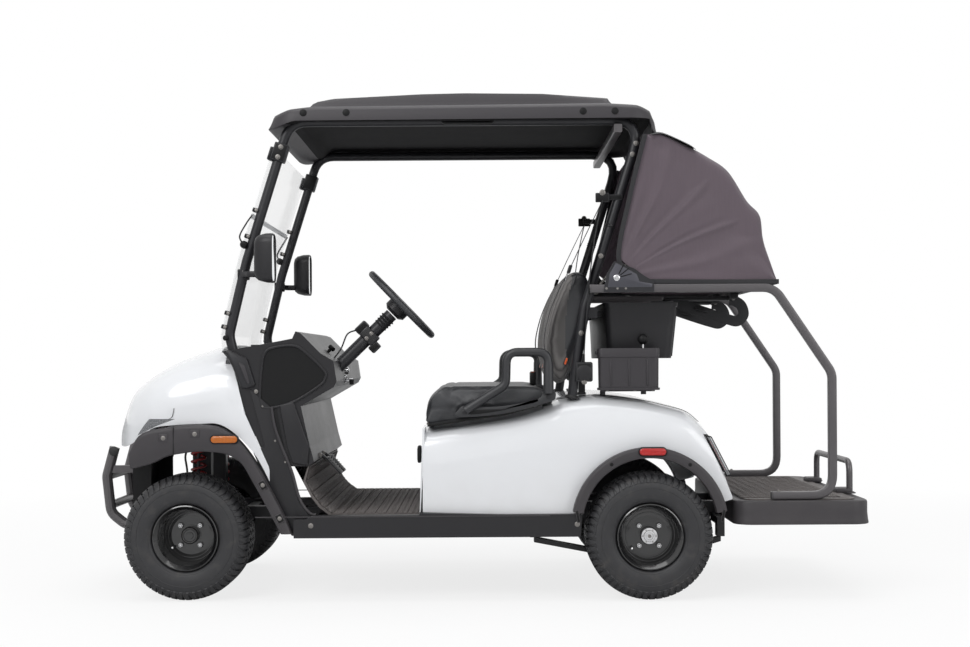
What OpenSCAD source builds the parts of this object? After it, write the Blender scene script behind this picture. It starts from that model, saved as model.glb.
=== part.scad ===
// Two-seat golf cart with a roof, a fold-down windscreen, a bag rack and a folding bag hood.
// The front of the cart points to -X, its left side to -Y, and the wheels stand on Z = 0.

/* [Overall] */
// Distance between the front and rear axles
wheelbase = 1680; // [1500:10:2000]
// Front axle to the foremost point of the bumper
front_overhang = 388; // [380:1:480]
// Rear axle to the rearmost point of the bag retaining bar
rear_overhang = 797; // [790:1:900]
// Width over the rear wheel flares
body_w = 1200; // [1150:10:1440]
// Ground to the crown of the roof
overall_h = 1850; // [1750:10:2150]

/* [Wheels] */
// Outside diameter of a tyre
tyre_d = 460; // [400:5:470]
// Width of a tyre
tyre_w = 215; // [170:5:225]
// Diameter over the flange of an 8 inch rim
rim_d = 238; // [225:1:250]
// Centre to centre of the front tyres
front_track = 880; // [860:5:900]
// Centre to centre of the rear tyres
rear_track = 980; // [960:5:1000]
// Width of a rim over its flanges
rim_w = 190; // [170:5:195]
// Front rim disc outwards of the tyre centre
front_disc = -22; // [-30:1:0]
// Rear rim disc outwards of the tyre centre
rear_disc = 30; // [0:1:40]
// Circle of the four wheel studs
stud_circle = 101.6; // [98:0.1:110]
// Length from the tyre centre inwards to the steering axis
kingpin_offset = 80; // [70:1:90]

/* [Body shells] */
// Thickness of the moulded body panels
panel_t = 4; // [3:0.5:6]
// Height of the floor
floor_z = 316; // [300:1:330]
// Thickness of the wheel flares
flare_t = 6; // [4:0.5:8]
// Inner radius of the rear wheel arch
arch_r = 242; // [240:1:255]

/* [Tubes] */
// Diameter of the roof pillars
pillar_d = 36; // [30:1:40]
// Side of the square bag rack tube
rack_tube = 30; // [25:1:35]
// Diameter of the bumper tube
bumper_d = 40; // [34:1:44]
// Diameter of the hip restraint tube
restraint_d = 24; // [20:1:28]
// Diameter of the hood bows
bow_d = 12; // [10:1:14]

/* [Steering] */
// Diameter of the steering wheel
steering_wheel_d = 345; // [320:5:380]
// Diameter of the steering wheel rim
steering_rim_d = 26; // [22:1:30]
// Lean of the steering column up from the floor
column_angle = 44; // [38:1:50]
// Distance of the steering column from the centre plane
column_y = 270; // [240:5:300]

/* [Hidden] */
$fn = 48;

// Places that everything else hangs on
length = front_overhang + wheelbase + rear_overhang;
fx = front_overhang - length / 2;
rx = fx + wheelbase;
axle_z = tyre_d / 2;
bead_r = rim_d / 2 - 9;
rim_h = rim_w / 2;
roof_z = overall_h - 1850;
side_y = body_w / 2 - 40;
flare_y = body_w / 2;
pillar_y = side_y - 68;
rack_y = side_y - 23;
canvas_y = rack_y + 11;
bracket_y = rack_y + rack_tube / 2;
seat_y = side_y - 18;
kingpin_y = front_track / 2 - kingpin_offset;
seam = 0.5;
eps = 0.01;

// Roof pillars and the rail that joins them, seen from the side
rail_z = 1742 + roof_z;
front_pillar = [
    [fx + 223, 700], [fx + 157, 965], [fx + 222, 1234], [fx + 382, rail_z], [0, rail_z]
];
rear_pillar = [
    [0.3, rail_z], [rx - 8, rail_z], [rx - 225, 1060], [rx - 275, 724.9]
];

// Steering column: the lower end at the dash and the centre of the wheel
column_foot = [fx + 505, -column_y, 820];
column_dir = [cos(column_angle), 0, sin(column_angle)];
wheel_reach = 376;
column_d = 50;
wheel_centre = column_foot + wheel_reach * column_dir;

// Leaf springs, just inboard of the rear tyres
leaf_w = 50;
leaf_y = rear_track / 2 - tyre_w / 2 - 15 - leaf_w / 2;

// Pivot of the bag hood on each side
hood_pivot = [rx - 113, 1163];

// Top of the footboard
deck_z = 357;

// ---------- Helpers ----------

function unit(v) = v / norm(v);

// Points of an arc about c, from angle a0 to a1
function arc(c, r, a0, a1, n = 8) = [
    for (i = [0:n]) let (a = a0 + (a1 - a0) * i / n) c + r * [cos(a), sin(a)]
];

// A route with its corners rounded to radius r
function rounded(route, r, n = 5) = [
    route[0],
    for (i = [1:1:len(route) - 2])
        let (
            corner = route[i],
            back = unit(route[i - 1] - corner),
            ahead = unit(route[i + 1] - corner),
            half = acos(back * ahead) / 2,
            centre = corner + unit(back + ahead) * r / sin(half),
            from = unit(corner + back * r / tan(half) - centre),
            to = corner + ahead * r / tan(half) - centre,
            across = unit(to - (to * from) * from)
        )
        for (k = [0:n])
            let (a = (180 - 2 * half) * k / n) centre + r * (cos(a) * from + sin(a) * across),
    route[len(route) - 1]
];

// Solid through rings of points that all have the same number of points and turn
// anticlockwise about the way from the first ring to the last
module skin(rings) {
    sides = len(rings[0]);
    last = len(rings) - 1;
    walls = [
        for (i = [0:last - 1], j = [0:sides - 1])
            let (k = (j + 1) % sides)
                [i * sides + j, (i + 1) * sides + j, (i + 1) * sides + k, i * sides + k]
    ];
    caps = [[for (j = [0:sides - 1]) j], [for (j = [sides - 1:-1:0]) last * sides + j]];
    polyhedron([for (ring = rings) each ring], concat(caps, walls), convexity = 6);
}

// Direction of a route at point i
function heading(route, i) =
    unit(route[min(i + 1, len(route) - 1)] - route[max(i - 1, 0)]);

// A section swept along a route; side is a direction that the route never takes
module sweep(route, section, side = [0, 1, 0]) {
    skin([
        for (i = [0:len(route) - 1])
            let (
                ahead = heading(route, i),
                u = unit(cross(ahead, side)),
                v = cross(u, ahead)
            )
            [for (p = section) route[i] + p[0] * v + p[1] * u]
    ]);
}

function round_section(d, n = 12) = [for (i = [0:n - 1]) d / 2 * [cos(i * 360 / n), sin(i * 360 / n)]];
function square_section(s, c = 3) = let (h = s / 2, k = h - c)
    [[h, -k], [h, k], [k, h], [-k, h], [-h, k], [-h, -k], [-k, -h], [k, -h]];

// A round tube along a route with rounded corners
module tube(route, d, r, side = [0, 1, 0]) {
    sweep(rounded(route, r), round_section(d), side);
}

// A flat route in the side view, placed at distance y
function at_y(route, y) = [for (p = route) [p[0], y, p[1]]];

// A side view outline made solid from y0 to y1
module side_prism(outline, y0, y1) {
    translate([0, y1, 0]) rotate([90, 0, 0]) linear_extrude(y1 - y0) polygon(outline);
}

// Children on the left side, and their mirror image on the right
module both_sides() {
    children();
    mirror([0, 1, 0]) children();
}

module rounded_plan(x0, x1, half, r) {
    for (x = [x0 + r, x1 - r], y = [r - half, half - r]) translate([x, y]) circle(r);
    translate([x0 + r, -half]) square([x1 - x0 - 2 * r, 2 * half]);
    translate([x0, r - half]) square([x1 - x0, 2 * (half - r)]);
}

// One cross section of a body shell: a flat-sided arch of thickness t
function arch_ring(x, half, z0, z1, t, power, n = 24) = [
    for (i = [0:n]) arch_point(x, half, z0, z1, 180 * i / n, power),
    for (i = [n:-1:0]) arch_point(x, half - t, z0, z1 - t, 180 * i / n, power)
];
function arch_point(x, half, z0, z1, a, power) = [
    x,
    half * sign(cos(a)) * pow(abs(cos(a)), 2 / power),
    z0 + (z1 - z0) * pow(abs(sin(a)), 2 / power)
];

// ---------- Nose ----------

// Stations of the cowl: distance from the front axle, half width less side_y, foot, crown
cowl_stations = [
    [-317, -440, 553, 574], [-300, -330, 553, 625], [-265, -220, 554, 695],
    [-225, -120, 562, 768], [-175, -60, 588, 808], [-115, -25, 629, 845],
    [-45, -10, 640, 880], [55, -5, 645, 915], [125, -2, 644, 935],
    [185, -2, 610, 945], [255, -2, 538, 950], [310, -2, 436, 950]
];
// Side view edge where the cowl meets the dash
cowl_edge = [[139, 906], [175, 862], [223, 679], [307, 489], [322, 420]];
lamp_outline = [[-178, 602], [-160, 627], [-129, 662], [-34, 662], [-105, 636]];

module cowl_skin() {
    skin([
        for (s = cowl_stations)
            arch_ring(fx + s[0], side_y + s[1], s[2], s[3], panel_t, 4)
    ]);
}

module lamp_prisms(grow) {
    mid = [-121, 638];
    both_sides() translate([fx + mid[0], -side_y - 5, mid[1]]) scale([1 + grow, 1, 1 + grow])
        side_prism([for (p = lamp_outline) p - mid], 0, 350);
}

module front_cowl() {
    color("white") difference() {
        cowl_skin();
        lamp_prisms(0.03);
        side_prism([
            for (p = cowl_edge) [fx + p[0], p[1]], [fx + 340, 420], [fx + 340, 1000],
            [fx + 118, 1000], [fx + 118, 902]
        ], -side_y - 10, side_y + 10);
        pillar_slots();
    }
}

// Clearance for the feet of the front pillars
module pillar_slots() {
    both_sides() translate([fx + 145, -pillar_y - pillar_d / 2 - seam, 480])
        cube([118, pillar_d + 2 * seam, 500]);
}

module headlights() {
    color("gainsboro") intersection() {
        cowl_skin();
        lamp_prisms(0);
    }
}

// Side view of the dash from its front edge over the top and down the leg panel
dash_outline = [
    for (i = [3:-1:0]) [fx + cowl_edge[i][0] + 0.6, cowl_edge[i][1]],
    [fx + 264, 927], [fx + 393, 951], [fx + 405, 977], [fx + 424, 970], [fx + 494, 898],
    [fx + 542, 869], [fx + 553, 795], [fx + 543, 775], [fx + 423, 706], [fx + 455, 560],
    [fx + 470, 505], [fx + 450, 489]
];
dash_cavity = [
    [fx + 304, 480], [fx + 228, 679], [fx + 180, 862], [fx + 158, 895], [fx + 264, 920],
    [fx + 395, 944], [fx + 407, 969], [fx + 419, 964.5], [fx + 489, 892.5], [fx + 535, 864],
    [fx + 546, 797], [fx + 538, 781], [fx + 415, 708], [fx + 448, 558], [fx + 458, 480]
];
cup_d = 84;
cup_depth = 75;
cup_x = fx + 262;
cup_y = [pillar_y - 130, pillar_y - 240];

module dash() {
    dash_y = side_y - 12;
    color("dimgray") difference() {
        union() {
            difference() {
                side_prism(dash_outline, -dash_y, dash_y);
                side_prism(dash_cavity, panel_t + 2 - dash_y, dash_y - panel_t - 2);
            }
            both_sides() for (y = cup_y)
                translate([cup_x, -y, 945 - cup_depth - 8 - 30]) cylinder(cup_depth + 24, d = cup_d + 8);
        }
        both_sides() for (y = cup_y)
            translate([cup_x, -y, 945 - cup_depth - 30]) cylinder(200, d = cup_d);
        pillar_slots();
        on_column() translate([0, 0, -300]) cylinder(600, d = column_d + 1);
    }
}

// Side view of the front wheel flare, relative to the front axle
flare_top = [
    [-192, 546], [-149, 611], [-59, 633], [31, 643], [121, 636], [185, 600], [246, 528],
    [307, 425], [365, 312]
];
flare_foot = [[392, 248], [352, 248]];
flare_under = [
    [290, 367], [246, 446], [211, 503], [157, 536], [67, 546], [-5, 539], [-59, 528],
    [-113, 503], [-185, 485]
];

module front_flares() {
    color("dimgray") both_sides() translate([fx, 0, 0]) difference() {
        side_prism(concat(flare_top, flare_foot, flare_under), -flare_y + 10, -side_y + 70);
        side_prism([
            for (p = flare_top) [p[0] - flare_t * sign(p[0] - 40) * 0.7, p[1] - flare_t],
            [380, 240], [-250, 240]
        ], -flare_y + 10 + flare_t, -side_y + 80);
        // room for the side of the cowl
        translate([-170, -side_y + 32, 596]) cube([44, 60, 30]);
    }
}

module front_valance() {
    half = kingpin_y - 150;
    color("black") {
        translate([fx - 262, -half, 318]) cube([10, 2 * half, 222]);
        both_sides() translate([fx - 252 + eps, -half, 318]) cube([60, panel_t, 222]);
    }
}

module front_bumper() {
    upright = [
        [fx + bumper_d / 2 - front_overhang + 30, 542],
        [fx + bumper_d / 2 - front_overhang, 430],
        [fx + bumper_d / 2 - front_overhang + 15, 290],
        [fx + bumper_d / 2 - front_overhang + 70, 245],
        [fx - 232, 245]
    ];
    bar_y = 180;
    color("black") {
        both_sides() tube(at_y(upright, -bar_y), bumper_d, 55);
        for (z = [430, 318])
            translate([fx - front_overhang + bumper_d / 2 + (z == 430 ? 0 : 12), -bar_y, z])
                rotate([-90, 0, 0]) cylinder(2 * bar_y, d = bumper_d - 8);
        both_sides() translate([fx - front_overhang + 25, -bar_y - 10, 444])
            cube([front_overhang - 262 - 25 - seam, 20, 28]);
    }
}

// ---------- Lamps ----------

tail_outline = [[202, 594], [226, 590], [300, 445], [281, 439]];

module tail_prisms(grow) {
    both_sides() translate([rx + 252, -side_y - 5, 517]) scale([1 + grow, 1, 1 + grow])
        side_prism([for (p = tail_outline) [p[0] - 252, p[1] - 517]], 0, 120);
}

module marker_lamps() {
    color("orange") both_sides()
        translate([fx + 104, -flare_y + 7, 577]) cube([97, 3 - eps, 26]);
    color("red") both_sides()
        translate([rx - 35, -flare_y - 3, 526]) cube([88, 3 - eps, 22]);
    color("red") intersection() {
        rear_skin();
        tail_prisms(0);
    }
}

// ---------- Tub and floor ----------

pod_x = rx - 830;

module floor_pan() {
    half = side_y - 20;
    color("dimgray") {
        side_prism([
            [pod_x - 1, floor_z], [fx + 530, floor_z], [fx + 493, 345], [fx + 465, 381],
            [fx + 437, 435], [fx + 452, 488.5], [fx + 446, 488.5], [fx + 429, 435],
            [fx + 457, 377], [fx + 487, 338], [fx + 527, floor_z - 8], [pod_x - 1, floor_z - 8]
        ], -half, half);
    }
}

module rocker_panels() {
    front = fx + 358;
    back = rx - 250;
    color("dimgray") both_sides() {
        difference() {
            side_prism([
                [front + 40, 232], [back, 232], [back + 7, 312.6], [rx - 518, 312.6], [pod_x + 4, 320.6],
                [pod_x - 2, floor_z - 3], [fx + 470, floor_z - 3], [fx + 440, 300],
                [front + 40, 300]
            ], -side_y - 20, -side_y + 16);
            side_prism([
                [front + 30, 225], [back - 8, 225], [back - 8, 305], [rx - 518, 305], [pod_x - 10, 305],
                [pod_x - 10, floor_z - 9], [fx + 470, floor_z - 9], [front + 30, 293]
            ], -side_y - 14, -side_y + 30);
        }
    }
}

// Side view of the rails: front horns, low centre part under the floor, raised rear part
module rail(y) {
    w = 50;
    color("black") translate([0, y - w / 2, 0]) {
        translate([fx - 232, 0, 262]) cube([632, w, 50]);
        translate([fx + 380, 0, floor_z - 68.4]) cube([wheelbase - 380 - 330, w, 60]);
        translate([rx - 350, 0, 262]) cube([350 + 720, w, 60]);
    }
}

module chassis_frame() {
    color("black") {
        rail(-170);
        rail(170);
        for (x = [fx - 228, fx + 150, fx + 450, pod_x + 60, rx - 300, rx + 322, rx + 660])
            translate([x, -145 - eps, 268]) cube([40, 290 + 2 * eps, 34]);
        // stands under the footboard
        for (x = [rx + 322, rx + 660], y = [-100, 60])
            translate([x, y, 302 - eps]) cube([40, 40, 47.7 + eps]);
        // outriggers that carry the rockers and the tub
        both_sides() for (x = [fx + 450, pod_x + 60])
            translate([x, -side_y - 13.6, 250]) cube([40, side_y + 13.6 - 194, 34]);
        // spring towers, each on its rail
        both_sides() translate([fx - 35, -rail_out, 312 - eps]) cube([70, 50, tower_z - 312 + 14]);
        both_sides() translate([fx - 35, -damper_y - 36, tower_z]) cube([70, damper_y + 36 - 150, 14]);
        // leaf spring hangers
        both_sides() for (x = [rx - 425, rx + 272]) {
            translate([x, -leaf_y - 28, 206.5]) cube([28, 56, 44]);
            translate([x, -leaf_y - 28, 250]) cube([28, leaf_y + 28 - 194, 28]);
        }
    }
}

module battery_pack() {
    color("slategray") translate([pod_x + 70, -430, floor_z - 8])
        cube([380, 860, 250]);
}

// ---------- Rear body ----------

// Stations of the rear body: distance from the rear axle, half width less side_y, foot, crown
rear_stations = [
    [-818, -10, 321, 625], [-518, -4, 313, 667], [-364, -4, 313, 709], [-300, -4, 313, 733],
    [-177, -4, 313, 743], [-34, -4, 313, 727], [74, -6, 320, 702], [145, -12, 330, 680],
    [192, -18, 340, 640], [235, -24, 345, 583], [272, -28, 350, 480], [305, -34, 359, 372]
];

module rear_skin() {
    skin([
        for (s = rear_stations)
            arch_ring(rx + s[0], side_y + s[1], s[2], s[3], panel_t, 9)
    ]);
}

module rear_body() {
    color("white") difference() {
        union() {
            rear_skin();
            side_prism([
                [pod_x, 321], [pod_x + panel_t, 321], [pod_x + panel_t + 14, 560], [pod_x + 10, 560]
            ], -side_y + 14, side_y - 14);
            side_prism([
                [pod_x + 10, 560 - eps], [pod_x + panel_t + 14, 560 - eps], [pod_x + 20, 624],
                [pod_x + 12, 624]
            ], -side_y + 22, side_y - 22);
        }
        both_sides() translate([rx, -side_y - 20, 270]) rotate([-90, 0, 0])
            cylinder(220, r = arch_r + 4);
        translate([pod_x + 50, -side_y + 70, 500]) cube([400, 2 * side_y - 140, 300]);
        tail_prisms(0.03);
    }
}

module rear_flares() {
    outer_r = arch_r + 40;
    color("dimgray") both_sides() translate([rx, 0, 270]) difference() {
        intersection() {
            rotate([90, 0, 0]) difference() {
                translate([0, 0, side_y - 3.5]) cylinder(43.5, r = outer_r);
                translate([0, 0, side_y - 10]) cylinder(80, r = arch_r);
            }
            translate([-400, -700, 44]) cube([800, 300, 400]);
        }
        rotate([90, 0, 0]) difference() {
            translate([0, 0, side_y - 10]) cylinder(44, r = outer_r - flare_t);
            translate([0, 0, side_y - 20]) cylinder(80, r = arch_r - 1);
        }
    }
}

// ---------- Seats ----------

cushion_outline = [
    [-800, 628.4], [-801, 689], [-768, 743], [-717, 765], [-535, 768], [-391, 765],
    [-337, 745], [-345, 717], [-364, 709.8], [-518, 667.8]
];

module seat_cushion() {
    color("black") {
        side_prism([for (p = cushion_outline) [rx + p[0], p[1]]], -seat_y, seat_y);
        // hinge barrels along the front edge
        for (y = [-300, 300]) translate([rx - 806, y, 632]) rotate([90, 0, 0])
            cylinder(60, d = 10, center = true);
    }
}

module hip_restraints() {
    tube_y = seat_y + 14 + restraint_d / 2;
    route = [
        [rx - 660, 690], [rx - 515, 780], [rx - 512, 897], [rx - 362, 897], [rx - 362, 752]
    ];
    color("silver") both_sides() {
        tube(at_y(route, -tube_y), restraint_d, 40);
        for (p = [[rx - 660, 700], [rx - 362, 752]])
            translate([p[0] - 14, -tube_y + restraint_d / 2 - 2, p[1] - 14])
                cube([28, 16 - 0.3, 28]);
    }
}

back_outline = [
    [-243, 1201], [-289, 1182], [-345, 1058], [-368, 926], [-353, 832], [-330, 786],
    [-300, 783], [-225, 945], [-194, 1096], [-213, 1190]
];

module seat_backs() {
    gap = 14;
    color("black") both_sides()
        side_prism([for (p = back_outline) [rx + p[0], p[1]]],
            8 + pillar_d / 2 - pillar_y, -gap);
}

module seat_back_frame() {
    tube_x = rx - 191.8;
    end_y = pillar_y - pillar_d / 2 - 0.3;
    color("black") {
        // feet on the rear body
        both_sides() translate([rx - 232, -330, 740.3]) {
            translate([-8, -20, 0]) cube([24, 40, 150]);
            translate([-18, -35, 0]) cube([36, 70, 6]);
        }
        // cross tube between the rear pillars, with hooks for the basket
        translate([tube_x, 0, 1040]) rotate([90, 0, 0])
            cylinder(2 * end_y - 6, d = 26, center = true);
        both_sides() {
            translate([tube_x - 46, -end_y, 1020]) cube([60, 4, 40]);
            translate([tube_x, -300, 1030]) cube([rx - 149 - tube_x, 40, 20]);
        }
    }
}

// ---------- Roof ----------

module front_pillars() {
    color("black") both_sides() {
        tube(at_y(front_pillar, -pillar_y), pillar_d, 90);
        translate([fx + 330, -pillar_y - 24, 1600 + roof_z]) cube([52, 48, 60]);
    }
}

module rear_pillars() {
    color("black") {
        both_sides() tube(at_y(rear_pillar, -pillar_y), pillar_d, 90);
        translate([rx - 118, -side_y + 20, rail_z - 50]) cube([30, 2 * side_y - 40, 30]);
    }
}

module roof() {
    z = roof_z;
    half = side_y + 1;
    front = fx + 300;
    back = rx + 45;
    ceiling_z = rail_z + pillar_d / 2 + seam;
    edge = [
        [front, 1718 + z], [front + 33, 1763 + z], [front + 87, 1780 + z],
        [front + 166, 1789 + z], [back - 195, 1796 + z], [back - 76, 1789 + z],
        [back - 33, 1774 + z], [back - 15, 1749 + z], [back, 1699 + z], [back - 14, 1688 + z],
        [back - 34, 1738 + z], [front + 120, 1734 + z], [front + 18, 1712 + z]
    ];
    crown = [
        [front + 140, 1780 + z], [front + 172, 1819 + z], [front + 240, 1832 + z],
        [front + 560, 1847 + z], [front + 720, 1850 + z], [back - 420, 1846 + z],
        [back - 182, 1828 + z], [back - 150, 1780 + z]
    ];
    color("dimgray") difference() {
        intersection() {
            union() {
                side_prism(edge, -half, half);
                side_prism(crown, -half + 90, half - 90);
            }
            translate([0, 0, 1600 + z]) linear_extrude(300)
                rounded_plan(front - 1, back + 1, half, 110);
        }
        translate([front + 128, -half + 34, 1700 + z])
            cube([back - front - 168, 2 * half - 68, ceiling_z - 1700 - z]);
        both_sides() translate([front + 32, -pillar_y - pillar_d / 2 - 4, 1690 + z])
            cube([100, pillar_d + 8, ceiling_z - 1690 - z]);
        translate([front + 190, -half + 40, 1771 + z])
            cube([back - front - 400, 2 * half - 80, 14]);
        translate([front + 190, -half + 96, 1784 + z])
            cube([back - front - 400, 2 * half - 192, 34]);
        for (x = [front + 240, back - 260], y = [-300, 300])
            translate([x, y, 1760 + z]) cylinder(20, d = 10);
    }
}

// Pane edges lie this far ahead of the pillar line
pane_lead = 32;

module windscreen() {
    low = [fx + 157 - pane_lead + 2, 965];
    mid = [fx + 222 - pane_lead, 1234];
    top = [fx + 382 - pane_lead, rail_z];
    seam_f = 0.32;
    top_f = 0.82;
    half = pillar_y + 10;
    t = 5;
    a = mid + seam_f * (top - mid);
    b = mid + (seam_f + 0.02) * (top - mid);
    c = mid + top_f * (top - mid);
    foot = low + [5, -59];
    color("lightblue", 0.4) {
        side_prism([foot, low, mid, a, a + [t, 0], mid + [t, 0], low + [t, 0], foot + [t, 0]],
            -half, half);
        side_prism([b, c, c + [t, 0], b + [t, 0]], -half, half);
        side_prism([a + [0, 0.3], b - [0, 0.3], b + [t, -0.3], a + [t, 0.3]], -half, half);
    }
}

module mirrors() {
    color("black") both_sides() translate([fx + 300, -side_y - 35, 1240]) {
        translate([-35, -45, -88]) cube([70, 120, 176]);
        translate([-98, 71, -66]) cube([64, side_y + 35 - 71 - pillar_y - pillar_d / 2 - seam, 24]);
    }
}

// ---------- Controls ----------

module on_column() {
    translate(column_foot) rotate([0, 90 - column_angle, 0]) children();
}

module steering_column() {
    color("black") on_column() {
        translate([0, 0, -150]) cylinder(150 + wheel_reach - 50.5, d = column_d);
        translate([-36, -30, 170]) cube([40, 60, 70]);
    }
}

module steering_wheel() {
    ring_r = (steering_wheel_d - steering_rim_d) / 2;
    color("black") on_column() translate([0, 0, wheel_reach]) {
        rotate_extrude($fn = 96) translate([ring_r, 0]) circle(d = steering_rim_d, $fn = 32);
        translate([0, 0, -50]) cylinder(40, d = 90);
        translate([0, 0, -12]) cylinder(14, d = 130);
        for (a = [90, 210, 330]) rotate([0, 0, a])
            translate([40, -16, -10]) cube([ring_r - 40, 32, 8]);
    }
}

module pedals() {
    pad = [[fx + 492, 507], [fx + 499, 513], [fx + 556, 450], [fx + 549, 444]];
    arm = [[fx + 468.6, 512], [fx + 465.3, 524], [fx + 524, 483], [fx + 518, 477]];
    color("dimgray") for (p = [[-210, 70], [-330, 90]]) {
        side_prism(pad, p[0] - p[1] / 2, p[0] + p[1] / 2);
        side_prism(arm, p[0] - 8, p[0] + 8);
    }
}

module seat_belts() {
    y = -pillar_y - pillar_d / 2 - 8;
    anchor = [rx - 160, y, 1445];
    tongue = [rx - 262, y, 1160];
    reel = [rx - 232, y, 862];
    color("black") both_sides() {
        skin([
            for (p = [anchor, tongue, reel])
                [for (q = [[-22, 1], [22, 1], [22, -1], [-22, -1]]) p + [q[0], q[1], 0]]
        ]);
        translate(reel + [-30, -14, -85]) cube([64, 21.5, 84.7]);
        translate(anchor + [-26, -6, 0.3]) cube([52, 13.5, 40]);
    }
}

// Belt buckles that come up at the back of the cushion and lift with it
module belt_buckles() {
    color("orangered") for (y = [-45, 45])
        translate([rx - 412, y - 14, 765.8]) cube([22, 28, 60]);
}

// ---------- Bag rack, footboard and stowage ----------

module bag_rack() {
    hoop = [
        [rx - 205, 1125], [rx + 458, 1125], [rx + 666, 815], [rx + 666, deck_z + rack_tube / 2],
        [rx + 448, deck_z + rack_tube / 2]
    ];
    color("black") {
        both_sides() sweep(rounded(at_y(hoop, -rack_y), 60), square_section(rack_tube));
        translate([rx + 368, -rack_y + rack_tube / 2 - eps, 1113])
            cube([24, 2 * rack_y - rack_tube + 2 * eps, 24]);
        for (y = [-230, 230]) translate([rx + 340, y - 60, 1092])
            cube([30, 120, 45]);
    }
    retainer_y = 290;
    color("dimgray") tube([
        [rx + rear_overhang - 12, -retainer_y, 357.3], [rx + rear_overhang - 12, -retainer_y, 478],
        [rx + rear_overhang - 12, retainer_y, 478], [rx + rear_overhang - 12, retainer_y, 357.3]
    ], 24, 40, [1, 0, 0]);
}

module footboard() {
    front = rx + 308;
    back = rx + rear_overhang;
    half = side_y + 25;
    color("dimgray") {
        difference() {
            translate([0, 0, 271]) linear_extrude(deck_z - 271) rounded_plan(front, back - 0.2, half, 70);
            translate([0, 0, 260]) linear_extrude(90)
                rounded_plan(front + 6, back - 6.2, half - 6, 64);
            for (y = [-170, 170]) translate([front - 1, y - 28, 260]) cube([20, 56, 64]);
        }
        // ribbed mat that the bags stand on
        translate([front + 30, -half + 85, deck_z - eps]) cube([370, 2 * half - 170, 3 + eps]);
    }
}

module basket() {
    front = rx - 150;
    back = rx + 120;
    half = side_y - 110;
    color("dimgray") difference() {
        side_prism([[front, 1077], [front + 12, 872], [back - 22, 872], [back, 1077]], -half, half);
        side_prism([
            [front + 5, 1090], [front + 17, 877], [back - 27, 877], [back - 5, 1090]
        ], -half + 5, half - 5);
    }
}

module accessory_box() {
    x = rx - 178;
    y = -side_y + 26;
    color("dimgray") {
        translate([x + 13, -side_y + 110, 735.8]) cylinder(9.3, d = 20);
        translate([x - 8, y - 8, 745]) cube([236, 96, 12]);
        translate([x, y, 757 - eps]) cube([220, 70, 132]);
        translate([x - 3, y - 3, 889 - 2 * eps]) cube([226, 76, 20]);
        translate([x + 176, y + 35, 908]) cylinder(24, d = 8);
        translate([x + 176, y + 35, 942]) sphere(d = 40);
    }
}

// ---------- Bag hood ----------

module hood_brackets() {
    color("gray") both_sides() {
        side_prism([
            [rx - 160, 1112], [rx - 150, 1175], [rx - 122, 1223], [rx - 100, 1216],
            [rx - 43, 1187], [rx + 22, 1150], [rx + 22, 1112]
        ], -bracket_y - 4.3, -bracket_y - 0.3);
        translate([hood_pivot[0], -bracket_y - 7, hood_pivot[1]]) rotate([-90, 0, 0])
            cylinder(48, d = 10);
    }
}

// A bow: an eye and a leg on each side and a bar across, at angle a, reach r and width y
module bow(r, a, y) {
    tip = [hood_pivot[0] + r * cos(a), hood_pivot[1] + r * sin(a)];
    start = [hood_pivot[0] + 12 * cos(a), hood_pivot[1] + 12 * sin(a)];
    color("dimgray") {
        difference() {
            tube([
                [start[0], -y, start[1]], [tip[0], -y, tip[1]],
                [tip[0], y, tip[1]], [start[0], y, start[1]]
            ], bow_d, 60, [-sin(a), 0, cos(a)]);
            both_sides() translate([hood_pivot[0], -y, hood_pivot[1]]) rotate([90, 0, 0])
                cylinder(30, d = 33, center = true);
        }
        both_sides() translate([hood_pivot[0], -y - 3, hood_pivot[1]]) rotate([-90, 0, 0])
            difference() {
                cylinder(6, d = 34);
                translate([0, 0, -1]) cylinder(8, d = 10.16);
            }
    }
}

module hood_bow_lower() {
    bow(562, 0, rack_y - 6);
}

module hood_bow_upper() {
    bow(520, 52, rack_y - 20);
}

canvas_outline = [
    [-3, 1684], [31, 1687.4], [62, 1690], [148, 1651], [227, 1608], [303, 1554], [371, 1446],
    [418, 1392], [429, 1302], [455, 1212], [473, 1147], [4, 1147], [-47, 1187], [-104, 1237]
];

module hood_canvas() {
    t = 3;
    color("dimgray") translate([rx, 0, roof_z]) difference() {
        side_prism(canvas_outline, -canvas_y, canvas_y);
        side_prism([
            [-30, 1677], [31, 1683.3], [60, 1686], [146, 1647], [225, 1604], [300, 1551],
            [368, 1444], [414, 1390], [425, 1301], [451, 1211], [470, 1130], [-200, 1130],
            [-200, 1250]
        ], -canvas_y + t, canvas_y - t);
    }
}

// ---------- Running gear ----------

// The lower and upper arms end in plates below and above the steering pin
plate_t = 12;
pin_half = 57;
lower_z = axle_z - pin_half - 0.6 - plate_t;
upper_z = axle_z + pin_half + 0.6;
damper_y = kingpin_y - 98;
rail_out = 195;
tower_z = 556;

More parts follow.
